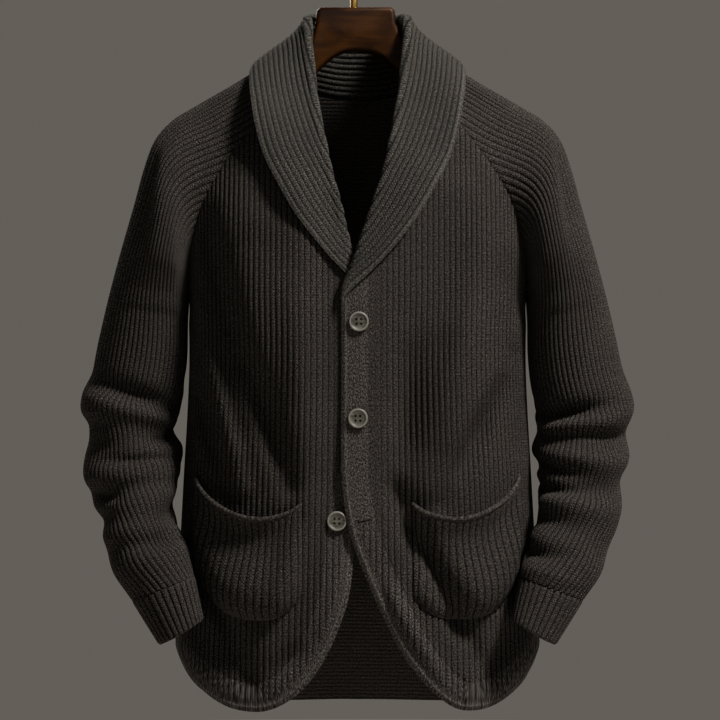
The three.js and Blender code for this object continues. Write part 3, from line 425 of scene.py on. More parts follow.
def body_normal(facing: int, x: Array, z: Array) -> Array:
    """The way the body's surface faces.

    Args:
        facing: -1 in front and 1 behind.
        x: across the body.
        z: up the body.

    Returns:
        Vectors of length 1.
    """
    dx = body_at_x(facing, x + LOOK_ASIDE, z) - body_at_x(facing, x - LOOK_ASIDE, z)
    dz = body_at_x(facing, x, z + LOOK_ASIDE) - body_at_x(facing, x, z - LOOK_ASIDE)
    return unit(np.cross(dz, dx)) * facing


def underlap(points: Array) -> Array:
    """Lays the right front's points back under the left front, x towards its own side."""
    depth = UNDERLAP.at(points[..., 2])["depth"] * (1 - smooth(points[..., 0], *UNDERLAP_FADE))
    return points + stack(0, depth, 0)


def neck_edge(x: Array) -> Array:
    """Top of a front just short of the collar's seam."""
    return FRONT_NECK.at(x - 0.5)["z"] - NECK_CLEARANCE


def ridge(off: Array, width: float) -> Array:
    """Height from 0 to 1 of a soft ridge, by the distance from its crest."""
    return np.exp(-((off / width) ** 2))


def rib(across: Array) -> Array:
    """Height of a rib from 0 in its valley to 1 on its crown, across the knit."""
    return np.abs(np.sin(math.pi * across / RIB_PITCH)) ** RIB_FULLNESS


@dataclass(frozen=True)
class Cloth:
    """A piece of cloth as grids of points, before it is a mesh.

    Attributes:
        outer: points of its face, rows by columns.
        inner: points of its back.
        across: millimetres across the knit at each point.
        along: millimetres along the knit at each point.
        ribbed: 1 where its ribs are full and 0 where it is plain.
        from_edge: millimetres from its loose edge.
        open_cells: whether each cell of the grid is left out, if any is.
    """

    outer: Array
    inner: Array
    across: Array
    along: Array
    ribbed: Array
    from_edge: Array
    open_cells: Array | None = None


def mirror_x(points: Array, side: Side) -> Array:
    """Sets points made towards their own side into the row's frame."""
    return points * np.array([side.value, 1, 1]) + np.array([GARMENT_X, 0, 0])


def sew(name: str, cloth: Cloth, side: Side = Side.LEFT) -> bpy.types.Object:
    """Makes a closed piece of cloth from its two grids.

    Args:
        name: the piece's name.
        cloth: its points.
        side: the wearer's side, for pieces made towards their own side.

    Returns:
        The object, with its knit map in metres and attributes that mark its back, its ribs and its edge.
    """
    rows, columns = cloth.outer.shape[:2]
    bm = bmesh.new()
    bmesh.ops.create_grid(bm, x_segments=columns - 1, y_segments=rows - 1, size=0.5)
    if cloth.open_cells is not None:
        opened = []
        for face in bm.faces:
            at = face.calc_center_median()
            if cloth.open_cells[int((at.y + 0.5) * (rows - 1)), int((at.x + 0.5) * (columns - 1))]:
                opened.append(face)
        bmesh.ops.delete(bm, geom=opened, context="FACES")
    copied = bmesh.ops.extrude_face_region(bm, geom=bm.faces[:], use_keep_orig=True)["geom"]
    bmesh.ops.translate(bm, verts=[g for g in copied if isinstance(g, bmesh.types.BMVert)], vec=(0, 0, -1))
    mesh = bpy.data.meshes.new(name)
    bm.to_mesh(mesh)
    bm.free()
    flat = np.empty(len(mesh.vertices) * 3, np.float32)
    mesh.vertices.foreach_get("co", flat)
    flat = flat.reshape(-1, 3)
    i = np.rint((flat[:, 1] + 0.5) * (rows - 1)).astype(int)
    j = np.rint((flat[:, 0] + 0.5) * (columns - 1)).astype(int)
    behind = flat[:, 2] < -0.5
    placed = mirror_x(np.where(behind[:, None], cloth.inner[i, j], cloth.outer[i, j]), side) * MM
    mesh.vertices.foreach_set("co", placed.astype(np.float32).ravel())
    marks = {"inside": behind, "ribbed": cloth.ribbed[i, j], "from_edge": cloth.from_edge[i, j] * MM}
    for mark, value in marks.items():
        mesh.attributes.new(mark, "FLOAT", "POINT").data.foreach_set("value", value.astype(np.float32))
    corner = np.empty(len(mesh.loops), np.int32)
    mesh.loops.foreach_get("vertex_index", corner)
    knit = np.stack([cloth.across[i, j], cloth.along[i, j]], axis=-1)[corner] * MM
    mesh.uv_layers.new(name="Knit").data.foreach_set("uv", knit.astype(np.float32).ravel())
    bm = bmesh.new()
    bm.from_mesh(mesh)
    bmesh.ops.remove_doubles(bm, verts=bm.verts[:], dist=1e-6)
    bmesh.ops.recalc_face_normals(bm, faces=bm.faces[:])
    if bm.calc_volume(signed=True) < 0:
        bmesh.ops.reverse_faces(bm, faces=bm.faces[:])
    bm.to_mesh(mesh)
    bm.free()
    mesh.polygons.foreach_set("use_smooth", np.ones(len(mesh.polygons), bool))
    mesh.set_sharp_from_angle(angle=CREASE)
    piece = bpy.data.objects.new(name, mesh)
    bpy.context.scene.collection.objects.link(piece)
    return piece


# The lines of the pattern


def spline(points: Array, t: Array) -> Array:
    """Reads a smooth curve through points.

    Args:
        points: what it passes through, in order.
        t: shares of it from 0 to 1, the same for each stretch between two points.

    Returns:
        A point for each share.
    """
    place = np.clip(t, 0, 1) * (len(points) - 1)
    i = np.minimum(place.astype(int), len(points) - 2)
    w = (place - i)[:, None]
    p0, p1 = points[np.maximum(i - 1, 0)], points[i]
    p2, p3 = points[i + 1], points[np.minimum(i + 2, len(points) - 1)]
    leaving, arriving = (p2 - p0) / 2, (p3 - p1) / 2
    turn = (2 * p1 - 2 * p2 + leaving + arriving) * w**3
    return turn + (-3 * p1 + 3 * p2 - 2 * leaving - arriving) * w**2 + leaving * w + p1


def raglan_z(facing: int, x: Array) -> Array:
    """Where the front or back raglan seam crosses x."""
    line = SLEEVE.at(np.linspace(0, UNDERARM, 1800))
    name = "front" if facing < 0 else "back"
    return np.interp(x, line[name + "X"], line[name + "Z"])


def panel_top(facing: int, mm: Array) -> Array:
    """Top of a panel just short of the neckline and of the raglan seam, by distance round the body."""
    x = UNDERARM_HALF * np.sin(angle_at(mm))
    neck = neck_edge(x) if facing < 0 else BACK_NECK.at(np.abs(x))["z"] - 2 * SEAM
    start = SLEEVE.at(0)["frontX" if facing < 0 else "backX"]
    return np.where(np.abs(x) > start, raglan_z(facing, np.abs(x)), neck)


class FrontPattern:
    """Edge, band and foot of one front, laid out flat as distance round the body and height."""

    STATIONS = 145
    STRAIGHT = 17  # the last station of its straight part
    TURN = 0.8  # share of its length from which it turns up for the side seam
    TOP = 0.1  # share of its length in which its inner line rises to the neckline
    FINE = 201  # points in which its length is measured

    def __init__(self, edge: Sequence[tuple[float, float]]) -> None:
        """Draws the pattern from the front's loose edge."""
        x, z = np.array(edge, float).T
        flat = np.stack([mm_at(np.arcsin(np.clip(x / spread_at(z), -1, 1))), z], axis=-1)
        fine = np.linspace(0, 1, self.FINE)
        run = np.concatenate([[0], np.cumsum(np.linalg.norm(np.diff(spline(flat, fine), axis=0), axis=1))])
        share = np.linspace(0, 1, self.STATIONS)
        t = np.interp(share, run / run[-1], fine)
        tangent = unit(spline(flat, t + 1e-4) - spline(flat, t - 1e-4))
        inward = np.stack([-tangent[:, 1], tangent[:, 0]], axis=-1)
        inward = unit(mix(inward, np.array([0.0, 1.0]), smooth(share, self.TURN, 1)[:, None]))
        self.length = float(run[-1])
        self.outer = spline(flat, t)
        self.inner = self.outer + inward * BAND_WIDTH
        self.straight = float(self.inner[self.STRAIGHT, 0])
        bend = self.STRAIGHT + 1
        bend += int(np.argmax(self.inner[bend:, 0] > self.straight + 1))
        self.inner[:bend, 0] = self.straight
        self.top = float(self.inner[bend, 1])
        for line in (self.outer, self.inner):
            line[:, 0] = np.minimum(line[:, 0], QUARTER - SEAM / 2)
        blend = (1 - smooth(share, 0, self.TOP)) ** 2
        self.inner[:, 1] += blend * (neck_edge(self.inner[:, 0]) - self.outer[0, 1])
        self.outer[0, 1] = neck_edge(self.outer[0, 0])

    def crossing(self, mm: Array) -> Array:
        """Height at which the band's inner line passes each distance round the body."""
        x, z = self.inner.T
        passed = np.asarray(mm)[..., None] > x
        last = len(x) - 1 - np.argmax(passed[..., ::-1], axis=-1)
        i = np.minimum(last, len(x) - 2)
        t = (mm - x[i]) / np.maximum(x[i + 1] - x[i], 1e-6)
        found = np.where((last > len(x) - 2) | (mm > QUARTER - 1), z[-1], mix(z[i], z[i + 1], t))
        return np.where(passed.any(axis=-1), found, self.top)

    def flat(self, s: Array, across: Array) -> Array:
        """Distance round the body and height of the band, by share down it and share across it."""
        place = np.clip(s, 0, 1) * (self.STATIONS - 1)
        i = np.minimum(place.astype(int), self.STATIONS - 2)
        w = (place - i)[..., None]
        outer = mix(self.outer[i], self.outer[i + 1], w)
        return mix(outer, mix(self.inner[i], self.inner[i + 1], w), np.clip(across, 0, 1)[..., None])

    def band(self, s: Array, across: Array) -> Array:
        """Points of the band laid on the body."""
        flat = self.flat(s, across)
        return body_at_mm(-1, flat[..., 0], flat[..., 1])


# Walls of knit


@dataclass
class Wall:
    """A wall of knit over a surface, with ribs that run along it.

    Attributes:
        surface: points at a share along the ribs and a place across them.
        sign: 1 or -1, the turn from along to across that faces out.
        shares: rows along the ribs, from 0 to 1.
        low: one side at each row.
        high: the other side at each row.
        to_a_rib: places to each rib.
        base: how far the valleys lie out from the surface, by share and place.
        inside: how far the plain side lies out from it.
        height: height of the ribs, by share and place.
        edge_facing: the way it faces along its sides, where its neighbour decides that.
        upright: whether its stitches are measured by height.
        side_fade: millimetres in which its ribs rise from its sides.
        step: share and millimetres to look to each side for the way it faces.
        hole: whether each cell between rows and columns is open, by share and place.
        knit_at: millimetres across the knit, where its ribs don't follow its own columns.
        edge_at: millimetres from its loose edge.
        flat: metres across and along its ribs, laid flat.
        area: square metres, laid flat.
    """

    surface: Callable[[Array, Array], Array]
    sign: int
    shares: Array
    low: Array
    high: Array
    to_a_rib: int = 4
    base: Callable[[Array, Array], Array] = lambda s, across: np.zeros_like(s)
    inside: float = -WALL
    height: Callable[[Array, Array], Array] = lambda s, across: np.full_like(s, RIB_HEIGHT)
    edge_facing: Callable[[Array, Array], Array] | None = None
    upright: bool = False
    side_fade: float = 1.6
    step: tuple[float, float] = (0.004, 1.5)
    hole: Callable[[Array, Array], Array] | None = None
    knit_at: Callable[[Array, Array], Array] = lambda s, across: across
    edge_at: Callable[[Array, Array], Array] = lambda s, across: np.full_like(s, NO_EDGE)
    flat: tuple[float, float] = field(default=(0, 0), init=False)
    area: float = field(default=0, init=False)

    def facing(self, s: Array, across: Array, low: Array, high: Array) -> Array:
        """The way the wall faces, from the surface a little to each side."""
        ds, da = self.step
        u, v = np.clip(s, ds, 1 - ds), np.clip(across, low + da, high - da)
        along = self.surface(u + ds, v) - self.surface(u - ds, v)
        over = self.surface(u, v + da) - self.surface(u, v - da)
        found = unit(np.cross(along, over)) * self.sign
        if self.edge_facing is None:
            return found
        at_side = (np.minimum(across - low, high - across) < SEAM / 2)[..., None]
        return np.where(at_side, self.edge_facing(s, across), found)

    def cloth(self) -> Cloth:
        """Works out its points."""
        step = RIB_PITCH / self.to_a_rib
        places = np.arange(math.floor(self.low.min() / step), math.ceil(self.high.max() / step) + 1) * step
        s, across = np.meshgrid(self.shares, places, indexing="ij")
        low, high = self.low[:, None], self.high[:, None]
        across = np.clip(across, low, high)
        plain, facing = self.surface(s, across), self.facing(s, across, low, high)
        height = self.height(s, across)
        knit = self.knit_at(s, across)
        ribs = rib(knit) * smooth(np.minimum(across - low, high - across), 0, self.side_fade)
        lift = self.base(s, across) + ribs * height
        outer, inner = plain + facing * lift[..., None], plain + facing * self.inside
        runs = np.linalg.norm(np.diff(plain, axis=0), axis=-1)
        middle = runs[:, runs.shape[1] // 2]
        along = np.concatenate([[0], np.cumsum(middle)])[:, None] + 0 * s
        if self.upright:
            along = plain[..., 2]
        diagonals = plain[1:, 1:] - plain[:-1, :-1], plain[1:, :-1] - plain[:-1, 1:]
        cells = np.linalg.norm(np.cross(*diagonals), axis=-1) / 2
        widths = cells / np.maximum((runs[:, 1:] + runs[:, :-1]) / 2, 1e-6)
        self.area = float(cells.sum()) * MM * MM
        self.flat = (float(widths.sum(axis=1).max()) * MM, float(runs.sum(axis=0).max()) * MM)
        open_cells = None
        if self.hole is not None:
            centre_s, centre = (s[1:, 1:] + s[:-1, :-1]) / 2, (across[1:, 1:] + across[:-1, :-1]) / 2
            open_cells = self.hole(centre_s, centre)
        ribbed = np.clip(height / RIB_HEIGHT, 0, 1)
        return Cloth(outer, inner, knit, along, ribbed, self.edge_at(s, across), open_cells)


# Finishes


class Value:
    """A number, vector or colour that a shader works out, with the usual signs for its sums."""

    def __init__(self, shader: "Shader", socket: bpy.types.NodeSocket) -> None:
        """Keeps the socket that the value comes from."""
        self.shader, self.socket = shader, socket

    def __add__(self, other: "Term") -> "Value":
        """Sum."""
        return self.shader.maths("ADD", self, other)

    def __sub__(self, other: "Term") -> "Value":
        """Difference."""
        return self.shader.maths("SUBTRACT", self, other)

    def __mul__(self, other: "Term") -> "Value":
        """Product."""
        return self.shader.maths("MULTIPLY", self, other)

    def __truediv__(self, other: "Term") -> "Value":
        """Quotient."""
        return self.shader.maths("DIVIDE", self, other)

    def __pow__(self, other: "Term") -> "Value":
        """Power."""
        return self.shader.maths("POWER", self, other)

    def __rsub__(self, other: "Term") -> "Value":
        """Difference from a number."""
        return self.shader.maths("SUBTRACT", other, self)

    def __abs__(self) -> "Value":
        """Size without its sign."""
        return self.shader.maths("ABSOLUTE", self)

    def __mod__(self, other: "Term") -> "Value":
        """What is left over, never below 0."""
        return self.shader.maths("FLOORED_MODULO", self, other)

    __radd__, __rmul__ = __add__, __mul__

    def sine(self) -> "Value":
        """Sine."""
        return self.shader.maths("SINE", self)

    def within(self, low: float, high: float) -> "Value":
        """Rises softly from 0 at low to 1 at high."""
        made = self.shader.node("ShaderNodeMapRange", {"interpolation_type": "SMOOTHSTEP"},
                                {"Value": self, "From Min": low, "From Max": high})
        return Value(self.shader, made.outputs["Result"])


Term = Value | float
Triple = tuple[float, float, float]
Colour = Triple
BLACK: Colour = (0.0, 0.0, 0.0)


class Shader:
    """A material built from nodes."""

    def __init__(self, name: str) -> None:
        """Starts an empty material."""
        self.material = bpy.data.materials.new(name)
        self.material.use_nodes = True
        self.tree = self.material.node_tree
        self.tree.nodes.clear()

    def node(self, kind: str, settings: dict | None = None, inputs: dict | None = None) -> bpy.types.Node:
        """Adds a node.

        Args:
            kind: its type.
            settings: its options.
            inputs: values, links or colours by socket name or number.

        Returns:
            The node.
        """
        made = self.tree.nodes.new(kind)
        for name, setting in (settings or {}).items():
            setattr(made, name, setting)
        for name, given in (inputs or {}).items():
            socket = made.inputs[name]
            if isinstance(given, Value):
                self.tree.links.new(given.socket, socket)
            elif isinstance(given, tuple) and len(given) == 3 and socket.type == "RGBA":
                socket.default_value = (*given, 1)
            else:
                socket.default_value = given
        return made

    def maths(self, kind: str, *terms: Term) -> Value:
        """A sum of one or two terms."""
        made = self.node("ShaderNodeMath", {"operation": kind}, dict(enumerate(terms)))
        return Value(self, made.outputs[0])

    def knit_map(self) -> tuple[Value, Value]:
        """Metres across and along the knit."""
        found = self.node("ShaderNodeUVMap", {"uv_map": "Knit"})
        parts = self.node("ShaderNodeSeparateXYZ", None, {0: Value(self, found.outputs[0])})
        return Value(self, parts.outputs[0]), Value(self, parts.outputs[1])

    def place(self, stretch: Triple = (1, 1, 1)) -> Value:
        """The point on the object, stretched along each axis."""
        found = Value(self, self.node("ShaderNodeTexCoord").outputs["Object"])
        made = self.node("ShaderNodeVectorMath", {"operation": "MULTIPLY"}, {0: found, 1: stretch})
        return Value(self, made.outputs[0])

    def vector(self, x: Term, y: Term) -> Value:
        """A vector from its first two parts."""
        return Value(self, self.node("ShaderNodeCombineXYZ", None, {0: x, 1: y}).outputs[0])

    def noise(self, place: Value, scale: float, detail: float = 2.0, distortion: float = 0.0) -> Value:
        """Soft noise about one half."""
        made = self.node("ShaderNodeTexNoise", None,
                         {"Vector": place, "Scale": scale, "Detail": detail, "Distortion": distortion})
        return Value(self, made.outputs[0])

    def attribute(self, name: str) -> Value:
        """A number kept on the mesh."""
        return Value(self, self.node("ShaderNodeAttribute", {"attribute_name": name}).outputs["Fac"])

    def blend(self, share: Term, a: Value | Colour, b: Value | Colour) -> Value:
        """Goes from colour a to colour b."""
        made = self.node("ShaderNodeMix", {"data_type": "RGBA"}, {"Factor": share, 6: a, 7: b})
        return Value(self, made.outputs[2])

    def bump(self, height: Value, depth: float) -> Value:
        """A raised surface.

        Args:
            height: how high each point is, from 0 to 1.
            depth: metres from 0 to 1.

        Returns:
            The way it faces.
        """
        made = self.node("ShaderNodeBump", None, {"Strength": 1.0, "Distance": depth, "Height": height})
        return Value(self, made.outputs[0])

    def finish(self, inputs: dict) -> bpy.types.Material:
        """Ends the material in a surface with the given inputs."""
        surface = self.node("ShaderNodeBsdfPrincipled", None, inputs)
        end = self.node("ShaderNodeOutputMaterial")
        self.tree.links.new(surface.outputs[0], end.inputs[0])
        return self.material


@dataclass(frozen=True)
class Wool:
    """Marled wool knit.

    Attributes:
        name: the finish's name.
        dark: colour of its darker yarn.
        light: colour of its paler yarn.
        bead: millimetres from its edge to the ridge of its rolled border, which carries a painted highlight,
            or 0.
        valley: share of the colour that its valleys keep, a painted shade.
        stitch: height of a stitch.
        purl: width and height of a stitch on its back.
        bead_width: half width of the painted highlight on the ridge.
        relief: how deep its stitches are.
    """

    name: str
    dark: Colour
    light: Colour
    bead: float = 0.0
    valley: float = 0.09
    stitch: float = 3.0
    purl: tuple[float, float] = (4.6, 4.3)
    bead_width: float = 1.1
    relief: float = 1.2

    def material(self) -> bpy.types.Material:
        """Builds the knit's colour, its stitches and its loose fibres, with painted shade in its rib valleys,
        between its stitches and between the purl rows of its back.
        """
        shader = Shader(self.name)
        across, along = shader.knit_map()
        inside, ribbed = shader.attribute("inside"), shader.attribute("ribbed")
        ribs = abs((across * (math.pi / (RIB_PITCH * MM))).sine())
        lean = abs((across / (RIB_PITCH * MM / 2)) % 1 - 0.5) * 1.3
        # the V of each stitch: its bump, and painted shade between the stitches
        chevrons = abs(((along / (self.stitch * MM) - lean) % 1) * 2 - 1) ** 1.4
        purl_columns, purl_rows = (
            abs((way * (math.pi / (size * MM))).sine()) for way, size in zip((across, along), self.purl)
        )
        purls = purl_rows * (0.6 + 0.4 * purl_columns)
        yarn = shader.vector(across, along * 0.6)
        fibres = shader.noise(yarn, 2300, 3, 0.5)
        grain = shader.noise(yarn, 640, 2, 0.3)
        loops = shader.noise(yarn, 820, 1, 0.2).within(0.28, 0.72)
        moss = 0.5 + 0.5 * grain.within(0.36, 0.6)
        # face darkens the colour between the stitches, a painted shade, and raises the stitches' bump
        face = (1 - chevrons * 0.9) * ribbed + moss * (1 - ribbed)
        # painted shade: the colour darkens in the rib valleys
        rib_shading = (ribs.within(0.08, 0.66) * 0.72 + loops * 0.28) * ribbed + moss * (1 - ribbed)
        flecks = shader.noise(yarn, 780, 2, 0.4).within(0.52, 0.72)
        patches = shader.noise(shader.place(), 16, 3)
        pale = 0.02 + flecks * 0.45 + loops * 0.6 + (fibres - 0.5) * 0.9
        outside = shader.blend(pale, self.dark, self.light)
        # tone of the outside: painted shade in the valleys and between the stitches, times random patches
        keep = self.valley + (1 - self.valley) * rib_shading
        keep = keep * (0.45 + 0.55 * face) * (0.84 + patches * 0.32)
        # a painted highlight along the ridge of the rolled border, brighter than the crowns of the ribs
        if self.bead:
            from_bead = abs(shader.attribute("from_edge") - self.bead * MM) / (self.bead_width * MM)
            rolled = 1 - from_bead.within(0.5, 1.3)
            keep = keep * (1 - rolled) + rolled * 1.45
        # tone of the back: darker between its purl rows, a painted shade
        plain = 0.62 + 0.3 * purls
        tone = keep * (1 - inside) + plain * inside
        colour = shader.blend(tone, BLACK, outside)
        stitches = face * 0.55 + fibres * 0.45
        height = stitches * (1 - inside) + (purls * 0.55 + fibres * 0.4) * inside
        return shader.finish({
            "Base Color": colour,
            "Roughness": 0.95,
            "Sheen Weight": 0.12,
            "Sheen Roughness": 0.5,
            "Sheen Tint": (*self.light, 1),
            "Specular IOR Level": 0.12,
            "Normal": shader.bump(height, self.relief * MM),
        })


@dataclass(frozen=True)
class Wood:
    """Dark stained wood under a glossy varnish."""

    name: str = "dark_wood"
    dark: Colour = (0.011, 0.0036, 0.0008)
    light: Colour = (0.046, 0.016, 0.0024)

    def material(self) -> bpy.types.Material:
        """Builds the grain and the varnish."""
        shader = Shader(self.name)
        grain = shader.noise(shader.place((8, 24, 24)), 2.2, 4, 0.6)
        pores = shader.noise(shader.place((12, 300, 300)), 5, 2)
        pale = grain.within(0.35, 0.7) * 0.8 + pores.within(0.55, 0.7) * 0.2
        return shader.finish({
            "Base Color": shader.blend(pale, self.dark, self.light),
            "Roughness": 0.42 + grain * 0.1,
            "Coat Weight": 0.06,
            "Coat Roughness": 0.08,
            "Specular IOR Level": 0.12,
            "Normal": shader.bump(pores, 0.00005),
        })


@dataclass(frozen=True)
class Brass:
    """Polished brass with fine wear."""

    name: str = "brass"
    colour: Colour = (0.56, 0.35, 0.1)

    def material(self) -> bpy.types.Material:
        """Builds the metal."""
        shader = Shader(self.name)
        wear = shader.noise(shader.place(), 90, 4)
        return shader.finish({
            "Base Color": shader.blend(wear, self.colour, tuple(c * 0.7 for c in self.colour)),
            "Metallic": 1.0,
            "Roughness": 0.2 + wear * 0.2,
            "Normal": shader.bump(wear, 0.00002),
        })


@dataclass(frozen=True)
class Horn:
    """Satin grey-olive horn with faint streaks and a paler rim."""

    name: str = "horn"
    dark: Colour = (0.036, 0.036, 0.027)
    light: Colour = (0.09, 0.089, 0.069)
    pale: Colour = (0.21, 0.2, 0.175)

    def material(self) -> bpy.types.Material:
        """Builds the streaks, the rim and the satin surface."""
        shader = Shader(self.name)
        streaks = shader.noise(shader.place((1, 1, 4)), 60, 4, 1.5)
        body = shader.blend(streaks.within(0.3, 0.75), self.dark, self.light)
        return shader.finish({
            "Base Color": shader.blend(shader.attribute("rim") * 0.8, body, self.pale),
            "Roughness": 0.38 + streaks * 0.15,
            "Coat Weight": 0.2,
            "Normal": shader.bump(streaks, 0.00008),
        })


@dataclass(frozen=True)
class Thread:
    """Dark sewing thread."""

    name: str = "thread"
    colour: Colour = (0.006, 0.0054, 0.0045)

    def material(self) -> bpy.types.Material:
        """Builds the twist of the thread."""
        shader = Shader(self.name)
        twist = shader.noise(shader.place(), 1800, 2)
        return shader.finish({
            "Base Color": shader.blend(twist, self.colour, tuple(c * 2 for c in self.colour)),
            "Roughness": 0.9,
            "Normal": shader.bump(twist, 0.0003),
        })


@dataclass(frozen=True)
class Finishes:
    """Every material, built once."""

    ribs: bpy.types.Material
    collar: bpy.types.Material
    moss: bpy.types.Material
    wood: bpy.types.Material
    brass: bpy.types.Material
    horn: bpy.types.Material
    thread: bpy.types.Material

    @classmethod
    def made(cls) -> "Finishes":
        """Builds them all."""
        dark, light = (0.013, 0.0115, 0.0101), (0.11, 0.098, 0.089)
        return cls(
            Wool("ribbed_wool", dark, light).material(),
            # the collar's wool: a cooler grey than the body's, and also paler with lighter valleys, which in
            # part paints the light that its upturned roll catches
            Wool("collar_wool", (0.016, 0.015, 0.0134), (0.135, 0.128, 0.116), COLLAR_BEAD, 0.14).material(),
            Wool("moss_wool", dark, (0.158, 0.143, 0.132), BAND_BEAD).material(),
            Wood().material(),
            Brass().material(),
            Horn().material(),
            Thread().material(),
        )


def attach(piece: bpy.types.Object, finish: bpy.types.Material, node: str | None = None) -> None:
    """Gives a piece its finish and joins it to the part.

    Args:
        piece: the object.
        finish: its material.
        node: the solid that it stands for, if any.
    """
    piece.data.materials.clear()
    piece.data.materials.append(finish)
    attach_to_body(piece, "root")
    if node:
        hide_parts(node)
    log.info("%s: %d triangles", piece.name, sum(len(p.vertices) - 2 for p in piece.data.polygons))


def hang(node: str, wall: Wall, side: Side, finish: bpy.types.Material) -> None:
    """Makes a sheet of knit from its wall and works out the area of its cut.

    Args:
        node: the solid that it stands for.
        wall: the sheet.
        side: the wearer's side.
        finish: its material.
    """
    piece = sew("knit_" + node, wall.cloth(), side)
    attach(piece, finish, node)
    area = min(wall.area, wall.flat[0] * wall.flat[1])


def clear_of_underarm(points: Array) -> Array:
    """1 where ribs stand free and 0 where the sleeve and the body face each other under the arm."""
    aside = smooth(np.abs(points[..., 0]), *UNDERARM_SIDE)
    return 1 - aside * smooth(points[..., 2], *UNDERARM_RISE)


@dataclass
class Front:
    """One front with its band and its pocket.

    Attributes:
        side: the wearer's side.
        edge: its loose edge, x towards its own side.
        buttonholes: x and z of each one.
        hole: length and height of a buttonhole.
        hole_clearance: share of the band's length in which a buttonhole has only its own rows of points.
        row: millimetres between the band's rows of points.
        rows: rows of points of its panel.
        bead: height and half width of the ridge of the band's rolled edge.
        lip: height, distance from the hole and half width of a buttonhole's lip.
        plain: millimetres from the band in which the panel has no full ribs beside the buttons.
        cutaway: heights in which the panel's ribs run on to the band again.
        band_ribs: millimetres from the edge in which the band's ribs rise.
        band_ribs_start: shares of the band's length in which they do.
        mouth: height, place and half width of the roll of the pocket's mouth.
        drape_start: x in which its finer drapes rise beside the band.
        drape_side: share of the body's half width at which they start to fade.
        drape_top: millimetres below the raglan seam in which they rise.
    """

    side: Side
    edge: Sequence[tuple[float, float]]
    buttonholes: Sequence[tuple[float, float]] = ()
    hole: tuple[float, float] = (15.0, 1.6)
    hole_clearance: float = 0.0022
    row: float = 1.8
    rows: int = 122
    bead: tuple[float, float] = (0.8, 1.1)
    lip: tuple[float, float, float] = (0.7, 1.6, 1.1)
    plain: float = 30
    cutaway: tuple[float, float] = (-720, -640)
    band_ribs: tuple[float, float] = (8, 15)
    band_ribs_start: tuple[float, float] = (0.34, 0.46)
    mouth: tuple[float, float, float] = (1.6, 0.982, 0.016)
    drape_start: tuple[float, float] = (24, 44)
    drape_side: float = 0.9
    drape_top: tuple[float, float] = (4, 40)
    pattern: FrontPattern = field(init=False)

    def __post_init__(self) -> None:
        """Draws the pattern."""
        self.pattern = FrontPattern(self.edge)

    def name(self, piece: str) -> str:
        """Name of one of its pieces."""
        return f"{piece}_{self.side.name.lower()}"

    def laid(self, points: Array) -> Array:
        """Drapes a piece of it, and lays the right front under the left one."""
        x, z = points[..., 0], points[..., 2]
        below = raglan_z(-1, np.clip(x, *RAGLAN_X)) - z
        beside = smooth(x / BODY.at(z)["width"], self.drape_side, 1)
        full = smooth(x, *self.drape_start) * (1 - beside) * smooth(below, *self.drape_top)
        draped = points - stack(0, fold_height(DRAPES[self.side], x, z) * full, 0)
        return underlap(draped) if self.side is Side.RIGHT else draped

    def panel_surface(self, s: Array, mm: Array) -> Array:
        """The ribbed panel, from its foot to its top."""
        place = np.clip(mm, self.pattern.straight - SEAM, QUARTER - SEAM / 2)
        z = mix(self.pattern.crossing(place) - SEAM, panel_top(-1, place), s)
        return self.laid(body_at_mm(-1, place, z))

    def panel(self, finish: bpy.types.Material) -> None:
        """Makes the ribbed panel. Its ribs run out where they meet the band."""
        low = self.pattern.straight - SEAM

        def height(s: Array, mm: Array) -> Array:
            """Ribs fade beside the buttons and under the arm."""
            points = self.panel_surface(s, mm)
            beside = (1 - smooth(mm - low, 0, self.plain)) * smooth(points[..., 2], *self.cutaway)
            return RIB_HEIGHT * clear_of_underarm(points) * (1 - beside)

        high = np.full(self.rows, QUARTER - SEAM / 2)
        wall = Wall(self.panel_surface, -1, np.linspace(0, 1, self.rows), np.full(self.rows, low), high,
                    height=height, upright=True)
        hang(self.name("front"), wall, self.side, finish)

    def band(self, finish: bpy.types.Material) -> None:
        """Makes the band along the loose edge, with a rolled bead and its buttonholes."""
        s = np.linspace(0, 1, 1201)
        line = mirror_x(self.laid(self.pattern.band(s, np.full_like(s, 0.5))), Side.LEFT)
        shares = np.linspace(0, 1, int(self.pattern.length / self.row))
        half_height = self.hole[1] / 2 / self.pattern.length
        places = []
        for x, z in self.buttonholes:
            aside, above = line[:, 0] - x - GARMENT_X, line[:, 2] - z
            middle = s[np.argmin(np.hypot(aside, above) + NO_EDGE * (abs(above) > 12))]
            across = np.linspace(0, 1, 61)
            row = self.pattern.band(np.full_like(across, middle), across)
            places.append((middle, BAND_WIDTH * across[np.argmin(abs(row[:, 0] - x))]))
            clear = abs(shares - middle) > self.hole_clearance
            shares = np.concatenate([shares[clear], [middle - half_height, middle, middle + half_height]])

        def opened(at: Array, across: Array) -> Array:
            """Whether a buttonhole lies there."""
            found = np.zeros(at.shape, bool)
            for middle, centre in places:
                found |= (abs(at - middle) < half_height) & (abs(across - centre) < self.hole[0] / 2)
            return found

        def lift(at: Array, across: Array) -> Array:
            """Thickness of the band, its bead and the raised lips of its buttonholes."""
            body = 0.5 * smooth(across, 0, 4) * (1 - smooth(across, 18, 30))
            bead = self.bead[0] * ridge(across - BAND_BEAD, self.bead[1]) - 0.9 * (1 - smooth(across, 0, 3.5))
            lips = np.zeros(at.shape)
            for middle, centre in places:
                far = np.maximum(abs(across - centre) - self.hole[0] / 2, 0)
                off = np.hypot(far, (at - middle) * self.pattern.length)
                height, away, width = self.lip
                lips = np.maximum(lips, height * ridge(off - away, width))
            return body + bead + lips

        def ribs(at: Array, across: Array) -> Array:
            """The front's ribs run on over the band, down from the last button."""
            return RIB_HEIGHT * smooth(across, *self.band_ribs) * smooth(at, *self.band_ribs_start)

